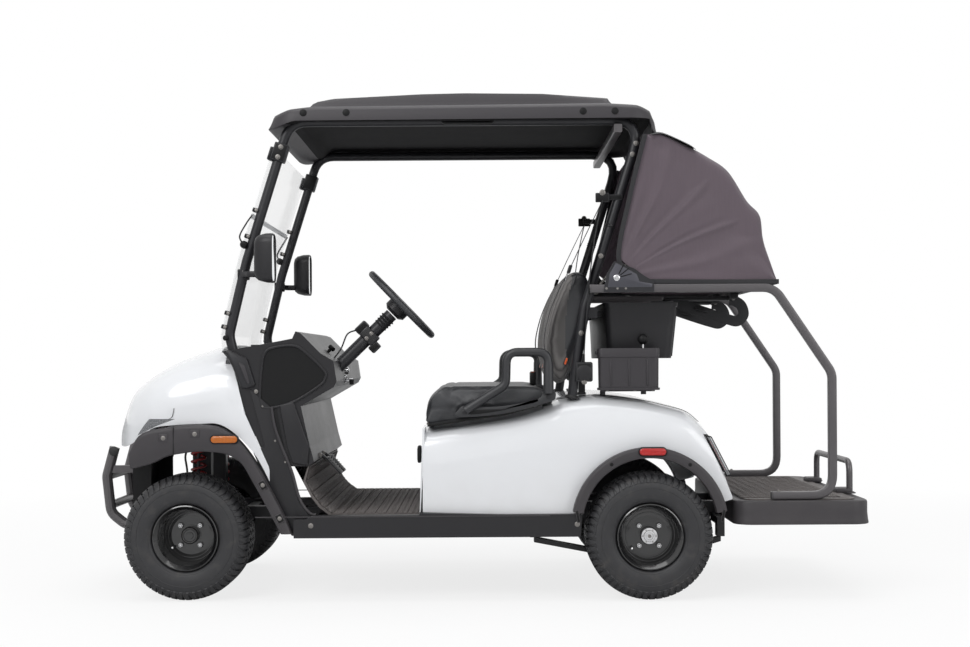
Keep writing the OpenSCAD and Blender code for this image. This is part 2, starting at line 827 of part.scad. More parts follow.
module front_suspension() {
    color("black") both_sides() translate([fx, 0, 0]) {
        // two arms, each with two legs from the frame to a plate at the steering pin
        for (z = [lower_z, upper_z]) {
            translate([-46, -kingpin_y - 20, z]) cube([92, 40, plate_t]);
            for (x = [-46, 30])
                translate([x, -kingpin_y + 20 - eps, z])
                    cube([16, kingpin_y - 20 - (z == lower_z ? 165 : rail_out), plate_t]);
        }
        for (x = [-52, 28]) translate([x, -183, lower_z + plate_t - eps])
            cube([24, 30, 262 - lower_z - plate_t]);
        translate([-46, -damper_y - 28, lower_z]) cube([92, 56, plate_t]);
        // damper body with its spring seat, and the rod up to the tower
        translate([0, -damper_y, lower_z + plate_t - eps]) cylinder(346 - lower_z - plate_t, d = 34);
        translate([0, -damper_y, 338]) cylinder(8, d = 64);
        translate([0, -damper_y, 345]) cylinder(tower_z - 345, d = 14);
    }
    color("red") both_sides() translate([fx, -damper_y, 346]) difference() {
        cylinder(tower_z - 346 - 0.3, d = 60);
        translate([0, 0, -1]) cylinder(tower_z, d = 44);
    }
}

module rear_axle() {
    hub_y = rear_track / 2 + rear_disc - 0.3;
    color("black") {
        translate([rx, 0, axle_z]) rotate([90, 0, 0]) {
            cylinder(2 * hub_y - 20, d = 64, center = true);
            for (side = [-1, 1]) {
                translate([0, 0, side * (hub_y - 8)]) cylinder(16, d = hub_d, center = true);
                translate([0, 0, side * (hub_y - 50)]) cylinder(50, d = 170, center = true);
            }
        }
        translate([rx - 90, -30, axle_z - 75]) cube([200, 160, 150]);
        translate([rx + 110 - eps, 50, axle_z]) rotate([0, 90, 0]) cylinder(170, d = 150);
    }
    spring = [
        for (p = [[-411, 206], [-200, 165], [0, 150], [150, 165], [286, 206]]) [rx + p[0], p[1]]
    ];
    color("black") both_sides() translate([0, -leaf_y, 0]) {
        side_prism(concat(spring, [for (i = [4:-1:0]) spring[i] - [0, 18]]), -leaf_w / 2, leaf_w / 2);
        translate([rx - 45, -leaf_w / 2 - 4, 126]) cube([90, leaf_w + 8, 6 + eps]);
        translate([rx - 40, -leaf_w / 2, 150 - eps]) cube([80, leaf_w, 55]);
    }
}

// Steering arms reach back to the tie rod, inboard of the tyres
arm_back = 110;
arm_in = tyre_w / 2 - kingpin_offset + 20;
arm_z = 10;
tie_z = axle_z + arm_z - 9;
hub_d = 126;

// A steered upright for the left wheel, with the steering axis through the origin
module knuckle() {
    reach = kingpin_offset + front_disc - 0.3;
    color("black") difference() {
        union() {
            translate([0, 0, -pin_half]) cylinder(2 * pin_half, d = 34);
            translate([0, -reach, 0]) rotate([-90, 0, 0]) cylinder(reach, d = 30);
            translate([0, -reach, 0]) rotate([-90, 0, 0]) cylinder(18, d = hub_d);
            translate([-12, 0, arm_z]) cube([24, arm_in + 12, 14]);
            translate([-12, arm_in - 12, arm_z]) cube([arm_back + 24, 24, 14]);
        }
        translate([arm_back, arm_in, arm_z - 1]) cylinder(20, d = 12.16);
    }
}

module knuckle_left() {
    translate([fx, -kingpin_y, axle_z]) knuckle();
}

module knuckle_right() {
    mirror([0, 1, 0]) translate([fx, -kingpin_y, axle_z]) knuckle();
}

// The rod turns on its pin in the left arm; its right eye lies free under the right arm
module tie_rod() {
    eye_y = kingpin_y - arm_in;
    color("black") translate([fx + arm_back, 0, tie_z]) {
        rotate([90, 0, 0]) cylinder(2 * eye_y, d = 14, center = true);
        both_sides() translate([0, -eye_y, -8]) cylinder(16, d = 28);
        translate([0, -eye_y, 0]) cylinder(24, d = 12);
    }
}

// A wheel is drawn about the Y axis with its outer face towards -Y
module tyre() {
    r = tyre_d / 2;
    h = tyre_w / 2;
    color("black") rotate([90, 0, 0]) rotate_extrude($fn = 96) polygon([
        [bead_r, -rim_h + 10], [bead_r + 10, -rim_h + 4], [bead_r + 14, -rim_h - 2],
        [bead_r + 30, -h + 2], [r - 66, -h], [r - 34, -h + 4], [r - 12, -h + 18],
        [r - 3, -h + 38], [r, -h + 60], [r, h - 60], [r - 3, h - 38], [r - 12, h - 18],
        [r - 34, h - 4], [r - 66, h], [bead_r + 30, h - 2], [bead_r + 14, rim_h + 2],
        [bead_r + 10, rim_h - 4], [bead_r, rim_h - 10], [bead_r, rim_h - 24],
        [bead_r + 10, rim_h - 30], [bead_r + 10, -rim_h + 30], [bead_r, -rim_h + 24]
    ]);
}

// A rim with its disc this far outwards of the tyre centre, its hub cap and its wheel studs
module rim(disc) {
    lip = [
        [bead_r - 0.3, rim_h - 24], [bead_r - 0.3, rim_h - 9], [bead_r + 6, rim_h - 1],
        [bead_r + 9, rim_h + 3], [bead_r + 5, rim_h + 5], [bead_r - 7, rim_h - 8]
    ];
    disc_face = [
        [bead_r - 7, disc + 2], [72, disc + 6], [32, disc + 6], [32, disc], [70, disc],
        [bead_r - 7, disc - 8]
    ];
    color("black") rotate([90, 0, 0]) difference() {
        union() {
            rotate_extrude($fn = 96) polygon(concat(
                lip, disc_face, [for (i = [5:-1:0]) [lip[i][0], -lip[i][1]]]
            ));
            translate([0, 0, disc + 5]) cylinder(5, d = 76);
            translate([0, 0, disc + 9]) cylinder(20, d = 62);
        }
        for (a = [45:90:315]) rotate([0, 0, a]) translate([stud_circle / 2, 0, disc - 20])
            cylinder(60, d = 12.6);
    }
    color("silver") rotate([90, 0, 0])
        for (a = [45:90:315]) rotate([0, 0, a]) translate([stud_circle / 2, 0, disc])
            cylinder(24, d = 12);
}

module wheel_at(x, track, left) {
    translate([x, 0, axle_z]) mirror([0, left ? 0 : 1, 0]) translate([0, -track / 2, 0]) children();
}

// ---------- Nodes ----------

chassis_frame();
battery_pack();
floor_pan();
rocker_panels();
front_cowl();
dash();
front_flares();
front_valance();
front_bumper();
headlights();
marker_lamps();
rear_body();
rear_flares();
seat_cushion();
hip_restraints();
seat_backs();
seat_back_frame();
front_pillars();
rear_pillars();
roof();
windscreen();
mirrors();
steering_column();
steering_wheel();
pedals();
seat_belts();
belt_buckles();
bag_rack();
footboard();
basket();
accessory_box();
hood_brackets();
hood_bow_upper();
hood_bow_lower();
hood_canvas();
front_suspension();
rear_axle();
tie_rod();
knuckle_left();
knuckle_right();
wheel_at(fx, front_track, true) tyre();  // tyre_front_left
wheel_at(fx, front_track, false) tyre();  // tyre_front_right
wheel_at(rx, rear_track, true) tyre();  // tyre_rear_left
wheel_at(rx, rear_track, false) tyre();  // tyre_rear_right
wheel_at(fx, front_track, true) rim(front_disc);  // rim_front_left
wheel_at(fx, front_track, false) rim(front_disc);  // rim_front_right
wheel_at(rx, rear_track, true) rim(rear_disc);  // rim_rear_left
wheel_at(rx, rear_track, false) rim(rear_disc);  // rim_rear_right
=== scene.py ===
"""Golf cart: finished surfaces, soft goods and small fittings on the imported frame."""
import math

import bmesh
import bpy
from mathutils import Matrix, Vector


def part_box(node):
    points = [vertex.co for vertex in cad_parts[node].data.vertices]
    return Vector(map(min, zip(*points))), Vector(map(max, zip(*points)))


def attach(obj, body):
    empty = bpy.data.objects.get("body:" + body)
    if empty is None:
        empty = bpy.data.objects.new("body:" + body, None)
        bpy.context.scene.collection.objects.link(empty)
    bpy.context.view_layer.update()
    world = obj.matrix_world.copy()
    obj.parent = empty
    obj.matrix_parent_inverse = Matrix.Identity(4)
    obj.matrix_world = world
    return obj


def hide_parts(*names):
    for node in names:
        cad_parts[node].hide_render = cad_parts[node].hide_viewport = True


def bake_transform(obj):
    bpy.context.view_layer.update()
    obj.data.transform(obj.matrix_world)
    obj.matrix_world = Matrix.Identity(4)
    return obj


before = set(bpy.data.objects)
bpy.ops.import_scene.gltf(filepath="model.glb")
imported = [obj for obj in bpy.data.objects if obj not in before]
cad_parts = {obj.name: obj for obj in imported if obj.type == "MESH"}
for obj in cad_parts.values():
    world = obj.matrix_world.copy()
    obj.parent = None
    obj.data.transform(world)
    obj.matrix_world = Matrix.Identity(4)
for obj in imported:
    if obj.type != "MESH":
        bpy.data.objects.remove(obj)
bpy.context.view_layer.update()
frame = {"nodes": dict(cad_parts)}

bl_info = {
    "name": "Golf cart",
    "version": (1, 0, 0),
    "blender": (4, 5, 0),
    "location": "3D Viewport > Sidebar > Golf cart",
    "description": "Builds the finished surfaces of a two-seat golf cart on its frame",
    "category": "Object",
}

MM = 0.001


def middle(node):
    low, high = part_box(node)
    return (low + high) / 2


FRONT = middle("tyre_front_left").x
REAR = middle("tyre_rear_left").x
SIDE = 0.560
FLARE = 0.600
PILLAR = 0.492
RACK = 0.537
LEFT_RIGHT = (-1, 1)
OUTWARD = (0, -1, 0)


def at(axle, *points):
    """Points given in mm behind an axle and above the ground, as (x, z) in metres."""
    return [(axle + x * MM, z * MM) for x, z in points]


def bell(off, width):
    """Height of a bell curve of the given width, at a distance off its middle."""
    return math.exp(-((off / width) ** 2))


# ---------- Sizes and colours ----------


def length_prop(name, text, default):
    return bpy.props.FloatProperty(
        name=name, description=text, default=default, min=0.0, soft_max=1.0, unit="LENGTH", precision=4
    )


def colour_prop(name, text, default):
    return bpy.props.FloatVectorProperty(
        name=name, description=text, default=default, subtype="COLOR", size=3, min=0.0, max=1.0
    )


class CartSizes(bpy.types.PropertyGroup):
    """Sizes of the fittings that are added to the frame"""

    tube: length_prop("Pillar tube", "Outside diameter of the roof pillars", 0.036)
    rail: length_prop("Hip restraint tube", "Outside diameter of the hip restraint tube", 0.031)
    panel: length_prop("Body panel", "Thickness of the moulded body panels", 0.004)
    swell: length_prop("Padding swell", "Most that the padding bulges past its cut shape", 0.012)
    stitch: length_prop("Stitch", "Length of one stitch", 0.006)
    fold: length_prop("Hood fold", "Depth of the folds in the hood", 0.009)
    lugs: bpy.props.IntProperty(name="Wheel nuts", description="Nuts on each wheel", default=4, min=3, max=8)
    treads: bpy.props.IntProperty(
        name="Tread blocks", description="Blocks round each shoulder of a tyre", default=54, min=24, max=90
    )


class CartColours(bpy.types.PropertyGroup):
    """Colours of the finishes"""

    body: colour_prop("Body", "Gloss paint of the body panels", (0.80, 0.81, 0.83))
    trim: colour_prop("Trim", "Moulded roof, flares and footboard", (0.040, 0.037, 0.041))
    dash: colour_prop("Dash", "Moulded dash and leg panels", (0.020, 0.0195, 0.0215))
    frame: colour_prop("Frame", "Powder coat of the tubes", (0.019, 0.019, 0.022))
    leather: colour_prop("Leather", "Seat covering", (0.027, 0.028, 0.031))
    ribbed: colour_prop("Ribbed cloth", "Front of the seat backs", (0.19, 0.18, 0.175))
    accent: colour_prop("Accent", "Seat piping and belt buckles", (0.78, 0.115, 0.015))
    canvas: colour_prop("Hood cloth", "Cloth of the bag hood", (0.102, 0.078, 0.094))
    spring: colour_prop("Springs", "Front coil springs", (0.30, 0.012, 0.014))
    rubber: colour_prop("Tyres", "Rubber of the tyres", (0.017, 0.017, 0.019))


def sizes():
    return bpy.context.scene.cart_sizes


def colours():
    return bpy.context.scene.cart_colours


# ---------- Node graphs ----------


class Value:
    """One output of a node; sums written on it add Math nodes."""

    def __init__(self, graph, socket):
        self.graph = graph
        self.socket = socket

    def __add__(self, other):
        return self.graph.maths("ADD", self, other)

    def __radd__(self, other):
        return self.graph.maths("ADD", other, self)

    def __sub__(self, other):
        return self.graph.maths("SUBTRACT", self, other)

    def __mul__(self, other):
        return self.graph.maths("MULTIPLY", self, other)

    def __truediv__(self, other):
        return self.graph.maths("DIVIDE", self, other)


class Graph:
    """Adds nodes to a material's or a geometry modifier's tree."""

    def __init__(self, tree):
        self.tree = tree
        self.made = 0

    def node(self, kind, settings=None, inputs=None, out=0):
        made = self.tree.nodes.new(kind)
        made.location = (self.made % 10 * 180, -(self.made // 10) * 240)
        self.made += 1
        for key, value in (settings or {}).items():
            if key == "stops":
                ramp = made.color_ramp
                while len(ramp.elements) < len(value):
                    ramp.elements.new(0.5)
                for stop, (place, colour) in zip(ramp.elements, value):
                    stop.position = place
                    stop.color = (*colour, 1) if hasattr(colour, "__len__") else (colour, colour, colour, 1)
            else:
                setattr(made, key, value)
        for key, value in (inputs or {}).items():
            if isinstance(value, Value):
                self.tree.links.new(value.socket, made.inputs[key])
            elif value is not None:
                made.inputs[key].default_value = value
        return Value(self, made.outputs[out]) if made.outputs else made

    def maths(self, operation, a, b=0.0):
        return self.node("ShaderNodeMath", {"operation": operation}, {0: a, 1: b})

    def vector(self, operation, a, b=(0, 0, 0), out=0):
        return self.node("ShaderNodeVectorMath", {"operation": operation}, {0: a, 1: b}, out)


class Finish(Graph):
    """A procedural material on Object coordinates."""

    def __init__(self, name):
        self.material = bpy.data.materials.new(name)
        self.material.use_nodes = True
        super().__init__(self.material.node_tree)
        self.tree.nodes.clear()
        self.place = self.node("ShaderNodeTexCoord", out=3)

    def axis(self, letter, place=None):
        return self.node("ShaderNodeSeparateXYZ", None, {0: place or self.place}, "XYZ".index(letter))

    def centred(self, centre, scale=(1, 1, 1)):
        moved = self.vector("SUBTRACT", self.place, tuple(centre))
        return self.vector("MULTIPLY", moved, scale)

    def noise(self, scale, detail=2.0, place=None, rough=0.5):
        inputs = {"Vector": place or self.place, "Scale": scale, "Detail": detail, "Roughness": rough}
        return self.node("ShaderNodeTexNoise", None, inputs)

    def cells(self, scale, feature="F1", place=None):
        inputs = {"Vector": place or self.place, "Scale": scale}
        return self.node("ShaderNodeTexVoronoi", {"feature": feature}, inputs)

    def ramp(self, fac, *stops):
        return self.node("ShaderNodeValToRGB", {"stops": stops}, {0: fac})

    def waves(self, value, pitch):
        """Even ridges, one to each pitch of the value, from 0 to 1."""
        return self.maths("SINE", value * (2 * math.pi / pitch)) * 0.5 + 0.5

    def tint(self, colour, fac):
        """A colour made lighter or darker by a factor."""
        grey = self.node("ShaderNodeCombineXYZ", None, {0: fac, 1: fac, 2: fac})
        base = tuple(colour)[:3] if not isinstance(colour, Value) else colour
        return self.vector("MULTIPLY", base, grey)

    def mix(self, fac, a, b):
        pick = lambda c: c if isinstance(c, Value) else (*tuple(c)[:3], 1)
        return self.node("ShaderNodeMix", {"data_type": "RGBA"}, {0: fac, 6: pick(a), 7: pick(b)}, 2)

    def bump(self, height, distance, strength=1.0, normal=None):
        inputs = {"Height": height, "Distance": distance, "Strength": strength, "Normal": normal}
        return self.node("ShaderNodeBump", None, inputs)

    def surface(self, colour, roughness, normal=None, **more):
        inputs = {"Base Color": colour if isinstance(colour, Value) else (*tuple(colour)[:3], 1)}
        inputs["Roughness"] = roughness
        inputs["Normal"] = normal
        inputs.update({key.replace("_", " "): value for key, value in more.items()})
        shader = self.node("ShaderNodeBsdfPrincipled", None, inputs)
        self.node("ShaderNodeOutputMaterial", None, {"Surface": shader})
        return self.material


FINISHES = {}


def finish_of(name, make):
    """The material of this name, made the first time it is asked for."""
    if name not in FINISHES:
        FINISHES[name] = make(Finish(name))
    return FINISHES[name]


def moulded(name, colour, rough, grain=700.0, depth=0.00012, spread=0.12, dust=0.0, **more):
    """Grained plastic, paint or powder coat, with clouds of wear and dust low down."""

    def make(m):
        broad = m.noise(4.0, 4.0)
        fine = m.noise(grain, 2.0)
        scuff = m.ramp(m.noise(38.0, 6.0, rough=0.7), (0.52, 0.0), (0.78, 1.0))
        shade = broad * spread + (1.0 - spread / 2) + fine * (spread * 0.5) - spread * 0.25
        base = m.tint(colour, shade)
        if dust:
            low = m.maths("MULTIPLY", m.ramp(m.axis("Z"), (0.0, 1.0), (0.75, 0.0)), m.noise(9.0, 5.0))
            base = m.mix(low * dust, base, (0.33, 0.30, 0.27))
        roughness = rough + (broad - 0.5) * 0.12 + scuff * 0.06
        return m.surface(base, roughness, m.bump(fine, depth, 0.8), **more)

    return finish_of(name, make)


def body_paint():
    def make(m):
        broad = m.noise(1.6, 3.0)
        peel = m.noise(240.0, 1.0)
        low = m.ramp(m.axis("Z"), (0.30, 1.0), (0.50, 0.0))
        base = m.tint(colours().body, broad * 0.03 + 0.985)
        base = m.mix(low * m.noise(14.0, 6.0) * 0.35, base, (0.52, 0.50, 0.48))
        rough = m.noise(22.0, 5.0) * 0.05 + 0.16 + low * 0.08
        return m.surface(base, rough, m.bump(peel, 0.00004, 0.5), Coat_Weight=0.5, Coat_Roughness=0.06)

    return finish_of("body_gloss_white", make)


def trim_plastic():
    return moulded(
        "trim_grained_charcoal", colours().trim, 0.47, 620.0, 0.00022, 0.16, dust=0.10, Specular_IOR_Level=0.32
    )


def dash_plastic():
    return moulded("dash_grained_black", colours().dash, 0.38, 820.0, 0.00016, 0.14, Specular_IOR_Level=0.28)


def recess_plastic():
    return moulded("recess_black", (0.0065, 0.0065, 0.007), 0.5, 500.0, 0.00014, 0.2, Specular_IOR_Level=0.2)


# Darker, barely reflective plastic laid on the roof's underside: painted shade where the roof faces down, not a
# separate lining.
def underside_shade_plastic():
    return moulded("headlining_black", (0.011, 0.0105, 0.0115), 0.75, 520.0, 0.0002, 0.2, Specular_IOR_Level=0.08)


def frame_coat():
    return moulded(
        "frame_powder_coat", colours().frame, 0.36, 430.0, 0.00009, 0.14, dust=0.05, Specular_IOR_Level=0.35
    )


def satin_tube():
    return moulded("satin_grey_tube", (0.10, 0.094, 0.098), 0.34, 430.0, 0.00009, 0.12, Metallic=0.35)


def black_gloss():
    return moulded("wheel_gloss_black", (0.0075, 0.0075, 0.008), 0.17, 300.0, 0.00005, 0.2, Coat_Weight=0.6)


def bright_steel():
    return moulded("bright_steel", (0.60, 0.60, 0.61), 0.20, 260.0, 0.00005, 0.2, Metallic=1.0)


def dull_steel():
    return moulded("dull_steel", (0.21, 0.20, 0.19), 0.45, 220.0, 0.00018, 0.35, Metallic=0.8)


def accent_plastic():
    return moulded("accent_orange", colours().accent, 0.38, 500.0, 0.0001, 0.12)


def spring_paint():
    return moulded("spring_red", colours().spring, 0.33, 260.0, 0.00008, 0.3, Coat_Weight=0.3)


def soft_rubber():
    return moulded("soft_rubber", (0.013, 0.013, 0.014), 0.62, 300.0, 0.0002, 0.25)


def leather():
    def make(m):
        crease = m.cells(420.0, "DISTANCE_TO_EDGE")
        pore = m.noise(1500.0, 2.0)
        broad = m.noise(7.0, 4.0)
        pull = m.noise(30.0, 4.0, m.vector("MULTIPLY", m.place, (1, 0.3, 1)))
        height = m.ramp(crease, (0.0, 0.0), (0.16, 1.0)) * 0.7 + pore * 0.3
        normal = m.bump(pull, 0.0012, 0.5, m.bump(height, 0.00022, 0.75))
        # Painted shade: the creases of the grain are coloured darker than the rest; the broad clouds are the
        # leather's own tone.
        base = m.tint(colours().leather, broad * 0.35 + 0.82 + m.ramp(crease, (0, 0.0), (0.1, 0.12)))
        return m.surface(base, broad * 0.14 + 0.31 + pore * 0.05, normal)

    return finish_of("seat_leather", make)


def ribbed_cloth():
    """Grey cloth with upright ribs, worked across the width of the seat."""

    def make(m):
        across = m.axis("Y")
        up = m.axis("Z")
        rib = m.waves(across, 0.0125)
        weave = m.waves(up, 0.0016) * m.waves(across + up * 0.5, 0.0018)
        round_rib = m.maths("POWER", rib, 0.45)
        fuzz = m.noise(900.0, 3.0)
        # Painted shade: the grooves between the ribs are coloured darker than the crests, following the rib height;
        # the weave and fuzz are the cloth's own tone.
        dark = round_rib * 0.62 + 0.36 + (fuzz - 0.5) * 0.3 + weave * 0.14
        height = round_rib * 0.85 + weave * 0.08 + fuzz * 0.05
        base = m.tint(colours().ribbed, dark)
        return m.surface(base, 0.78 + fuzz * 0.12, m.bump(height, 0.0022, 0.9), Sheen_Weight=0.15)

    return finish_of("seat_ribbed_cloth", make)


def hood_cloth(name="hood_cloth", colour=None):
    def make(m):
        x, y, z = m.axis("X"), m.axis("Y"), m.axis("Z")
        warp = m.waves(x + y * 0.7, 0.0011)
        weft = m.waves(z + y * 0.7, 0.0011)
        cloud = m.noise(5.0, 5.0)
        slub = m.noise(160.0, 3.0, m.vector("MULTIPLY", m.place, (1, 1, 0.12)))
        crumple = m.noise(11.0, 5.0, rough=0.55)
        base = m.tint(colour or colours().canvas, cloud * 0.22 + 0.80 + slub * 0.16 + warp * weft * 0.12)
        normal = m.bump(crumple, 0.006, 0.22, m.bump(warp * 0.5 + weft * 0.5 + slub * 0.4, 0.00025, 0.6))
        return m.surface(base, cloud * 0.1 + 0.74, normal, Sheen_Weight=0.15, Sheen_Roughness=0.5)

    return finish_of(name, make)


def black_cloth():
    return hood_cloth("flap_cloth", (0.012, 0.012, 0.014))


def webbing():
    def make(m):
        run = m.waves(m.axis("Z") + m.axis("X") * 0.6, 0.0024)
        cross = m.waves(m.axis("X") + m.axis("Y"), 0.0021)
        fuzz = m.noise(600.0, 3.0)
        base = m.tint((0.016, 0.016, 0.018), run * cross * 0.9 + 0.6 + fuzz * 0.3)
        return m.surface(base, 0.66 + fuzz * 0.12, m.bump(run * 0.6 + cross * 0.4, 0.0004, 0.8))

    return finish_of("belt_webbing", make)


def tyre_rubber(name, centre):
    """Rubber with moulded rings and fine ribs on the sidewall, turned about the wheel's own axle."""

    def make(m):
        local = m.centred(centre)
        flat = m.vector("MULTIPLY", local, (1, 0, 1))
        radius = m.vector("LENGTH", flat, out=1)
        angle = m.maths("ARCTAN2", m.axis("Z", local), m.axis("X", local))
        rings = m.waves(radius, 0.0034)
        band = m.ramp(radius, (0.135, 0.0), (0.139, 1.0), (0.152, 1.0), (0.156, 0.0))
        spokes = m.waves(angle, math.radians(1.2))
        outer = m.ramp(radius, (0.176, 0.0), (0.180, 1.0), (0.196, 1.0), (0.2, 0.0))
        grime = m.noise(26.0, 6.0)
        scuff = m.noise(210.0, 4.0)
        height = rings * band * 0.5 + spokes * outer * 0.5 + scuff * 0.22
        base = m.tint(colours().rubber, grime * 0.8 + 0.55 + scuff * 0.25)
        base = m.mix(m.ramp(grime, (0.55, 0.0), (0.8, 0.35)), base, (0.075, 0.066, 0.058))
        return m.surface(base, grime * 0.16 + 0.47, m.bump(height, 0.0008, 0.8))

    return finish_of(name, make)


def floor_rubber():
    return moulded("floor_rubber", (0.082, 0.072, 0.070), 0.56, 340.0, 0.0003, 0.3, dust=0.25)


def lens(name, colour, ribs=0.006, **more):
    """Coloured or clear lens with prisms moulded inside it."""

    def make(m):
        prism = m.waves(m.axis("X"), ribs) * m.waves(m.axis("Z"), ribs)
        cloud = m.noise(30.0, 3.0)
        base = m.tint(colour, prism * 0.5 + 0.7 + cloud * 0.12)
        return m.surface(base, 0.08 + cloud * 0.05, m.bump(prism, 0.0007, 0.5), **more)

    return finish_of(name, make)


def clear_sheet():
    def make(m):
        haze = m.noise(5.0, 5.0)
        scratch = m.noise(90.0, 6.0, m.vector("MULTIPLY", m.place, (1, 4, 0.2)))
        alpha = haze * 0.05 + 0.12 + scratch * 0.04
        return m.surface(
            m.tint((0.86, 0.88, 0.90), haze * 0.06 + 0.96), 0.04 + scratch * 0.04, Alpha=alpha, Specular_IOR_Level=0.6
        )

    return finish_of("screen_clear", make)


def mirror_glass():
    def make(m):
        smear = m.noise(9.0, 5.0)
        return m.surface(m.tint((0.83, 0.85, 0.87), smear * 0.06 + 0.95), 0.02 + smear * 0.05, Metallic=1.0)

    return finish_of("mirror_glass", make)


# ---------- Mesh making ----------


def smooth_route(points, steps=6, closed=False):
    """A smooth line through points of any size."""
    pts = [Vector(p) for p in points]
    count = len(pts)
    line = []
    for i in range(count if closed else count - 1):
        a, b = pts[(i - 1) % count if closed else max(i - 1, 0)], pts[i]
        c, d = pts[(i + 1) % count], pts[(i + 2) % count if closed else min(i + 2, count - 1)]
        for k in range(steps):
            t = k / steps
            line.append(
                0.5 * ((2 * b) + (c - a) * t + (2 * a - 5 * b + 4 * c - d) * t * t + (3 * b - a - 3 * c + d) * t ** 3)
            )
    return line if closed else line + [pts[-1]]


def bent_route(points, radius, steps=6):
    """Straight runs with their corners rounded."""
    pts = [Vector(p) for p in points]
    line = [pts[0]]
    for before, corner, after in zip(pts, pts[1:], pts[2:]):
        back, ahead = (before - corner).normalized(), (after - corner).normalized()
        reach = min(
            radius / math.tan(back.angle(ahead) / 2), (before - corner).length / 2, (after - corner).length / 2
        )
        start, end = corner + back * reach, corner + ahead * reach
        for k in range(steps + 1):
            t = k / steps
            line.append(start.lerp(corner, t).lerp(corner.lerp(end, t), t))
    return line + [pts[-1]]


def circle_section(diameter, sides=16):
    turn = 2 * math.pi / sides
    return [(diameter / 2 * math.cos(i * turn), diameter / 2 * math.sin(i * turn)) for i in range(sides)]


def flat_section(width, depth, corner=None, steps=3):
    """A rounded rectangle."""
    r = min(width, depth) * 0.3 if corner is None else corner
    ring = []
    for cx, cy, start in ((1, 1, 0), (-1, 1, 90), (-1, -1, 180), (1, -1, 270)):
        for k in range(steps + 1):
            a = math.radians(start + 90 * k / steps)
            ring.append((cx * (width / 2 - r) + r * math.cos(a), cy * (depth / 2 - r) + r * math.sin(a)))
    return ring


def side_view(points, y):
    return [(x, y, z) for x, z in points]


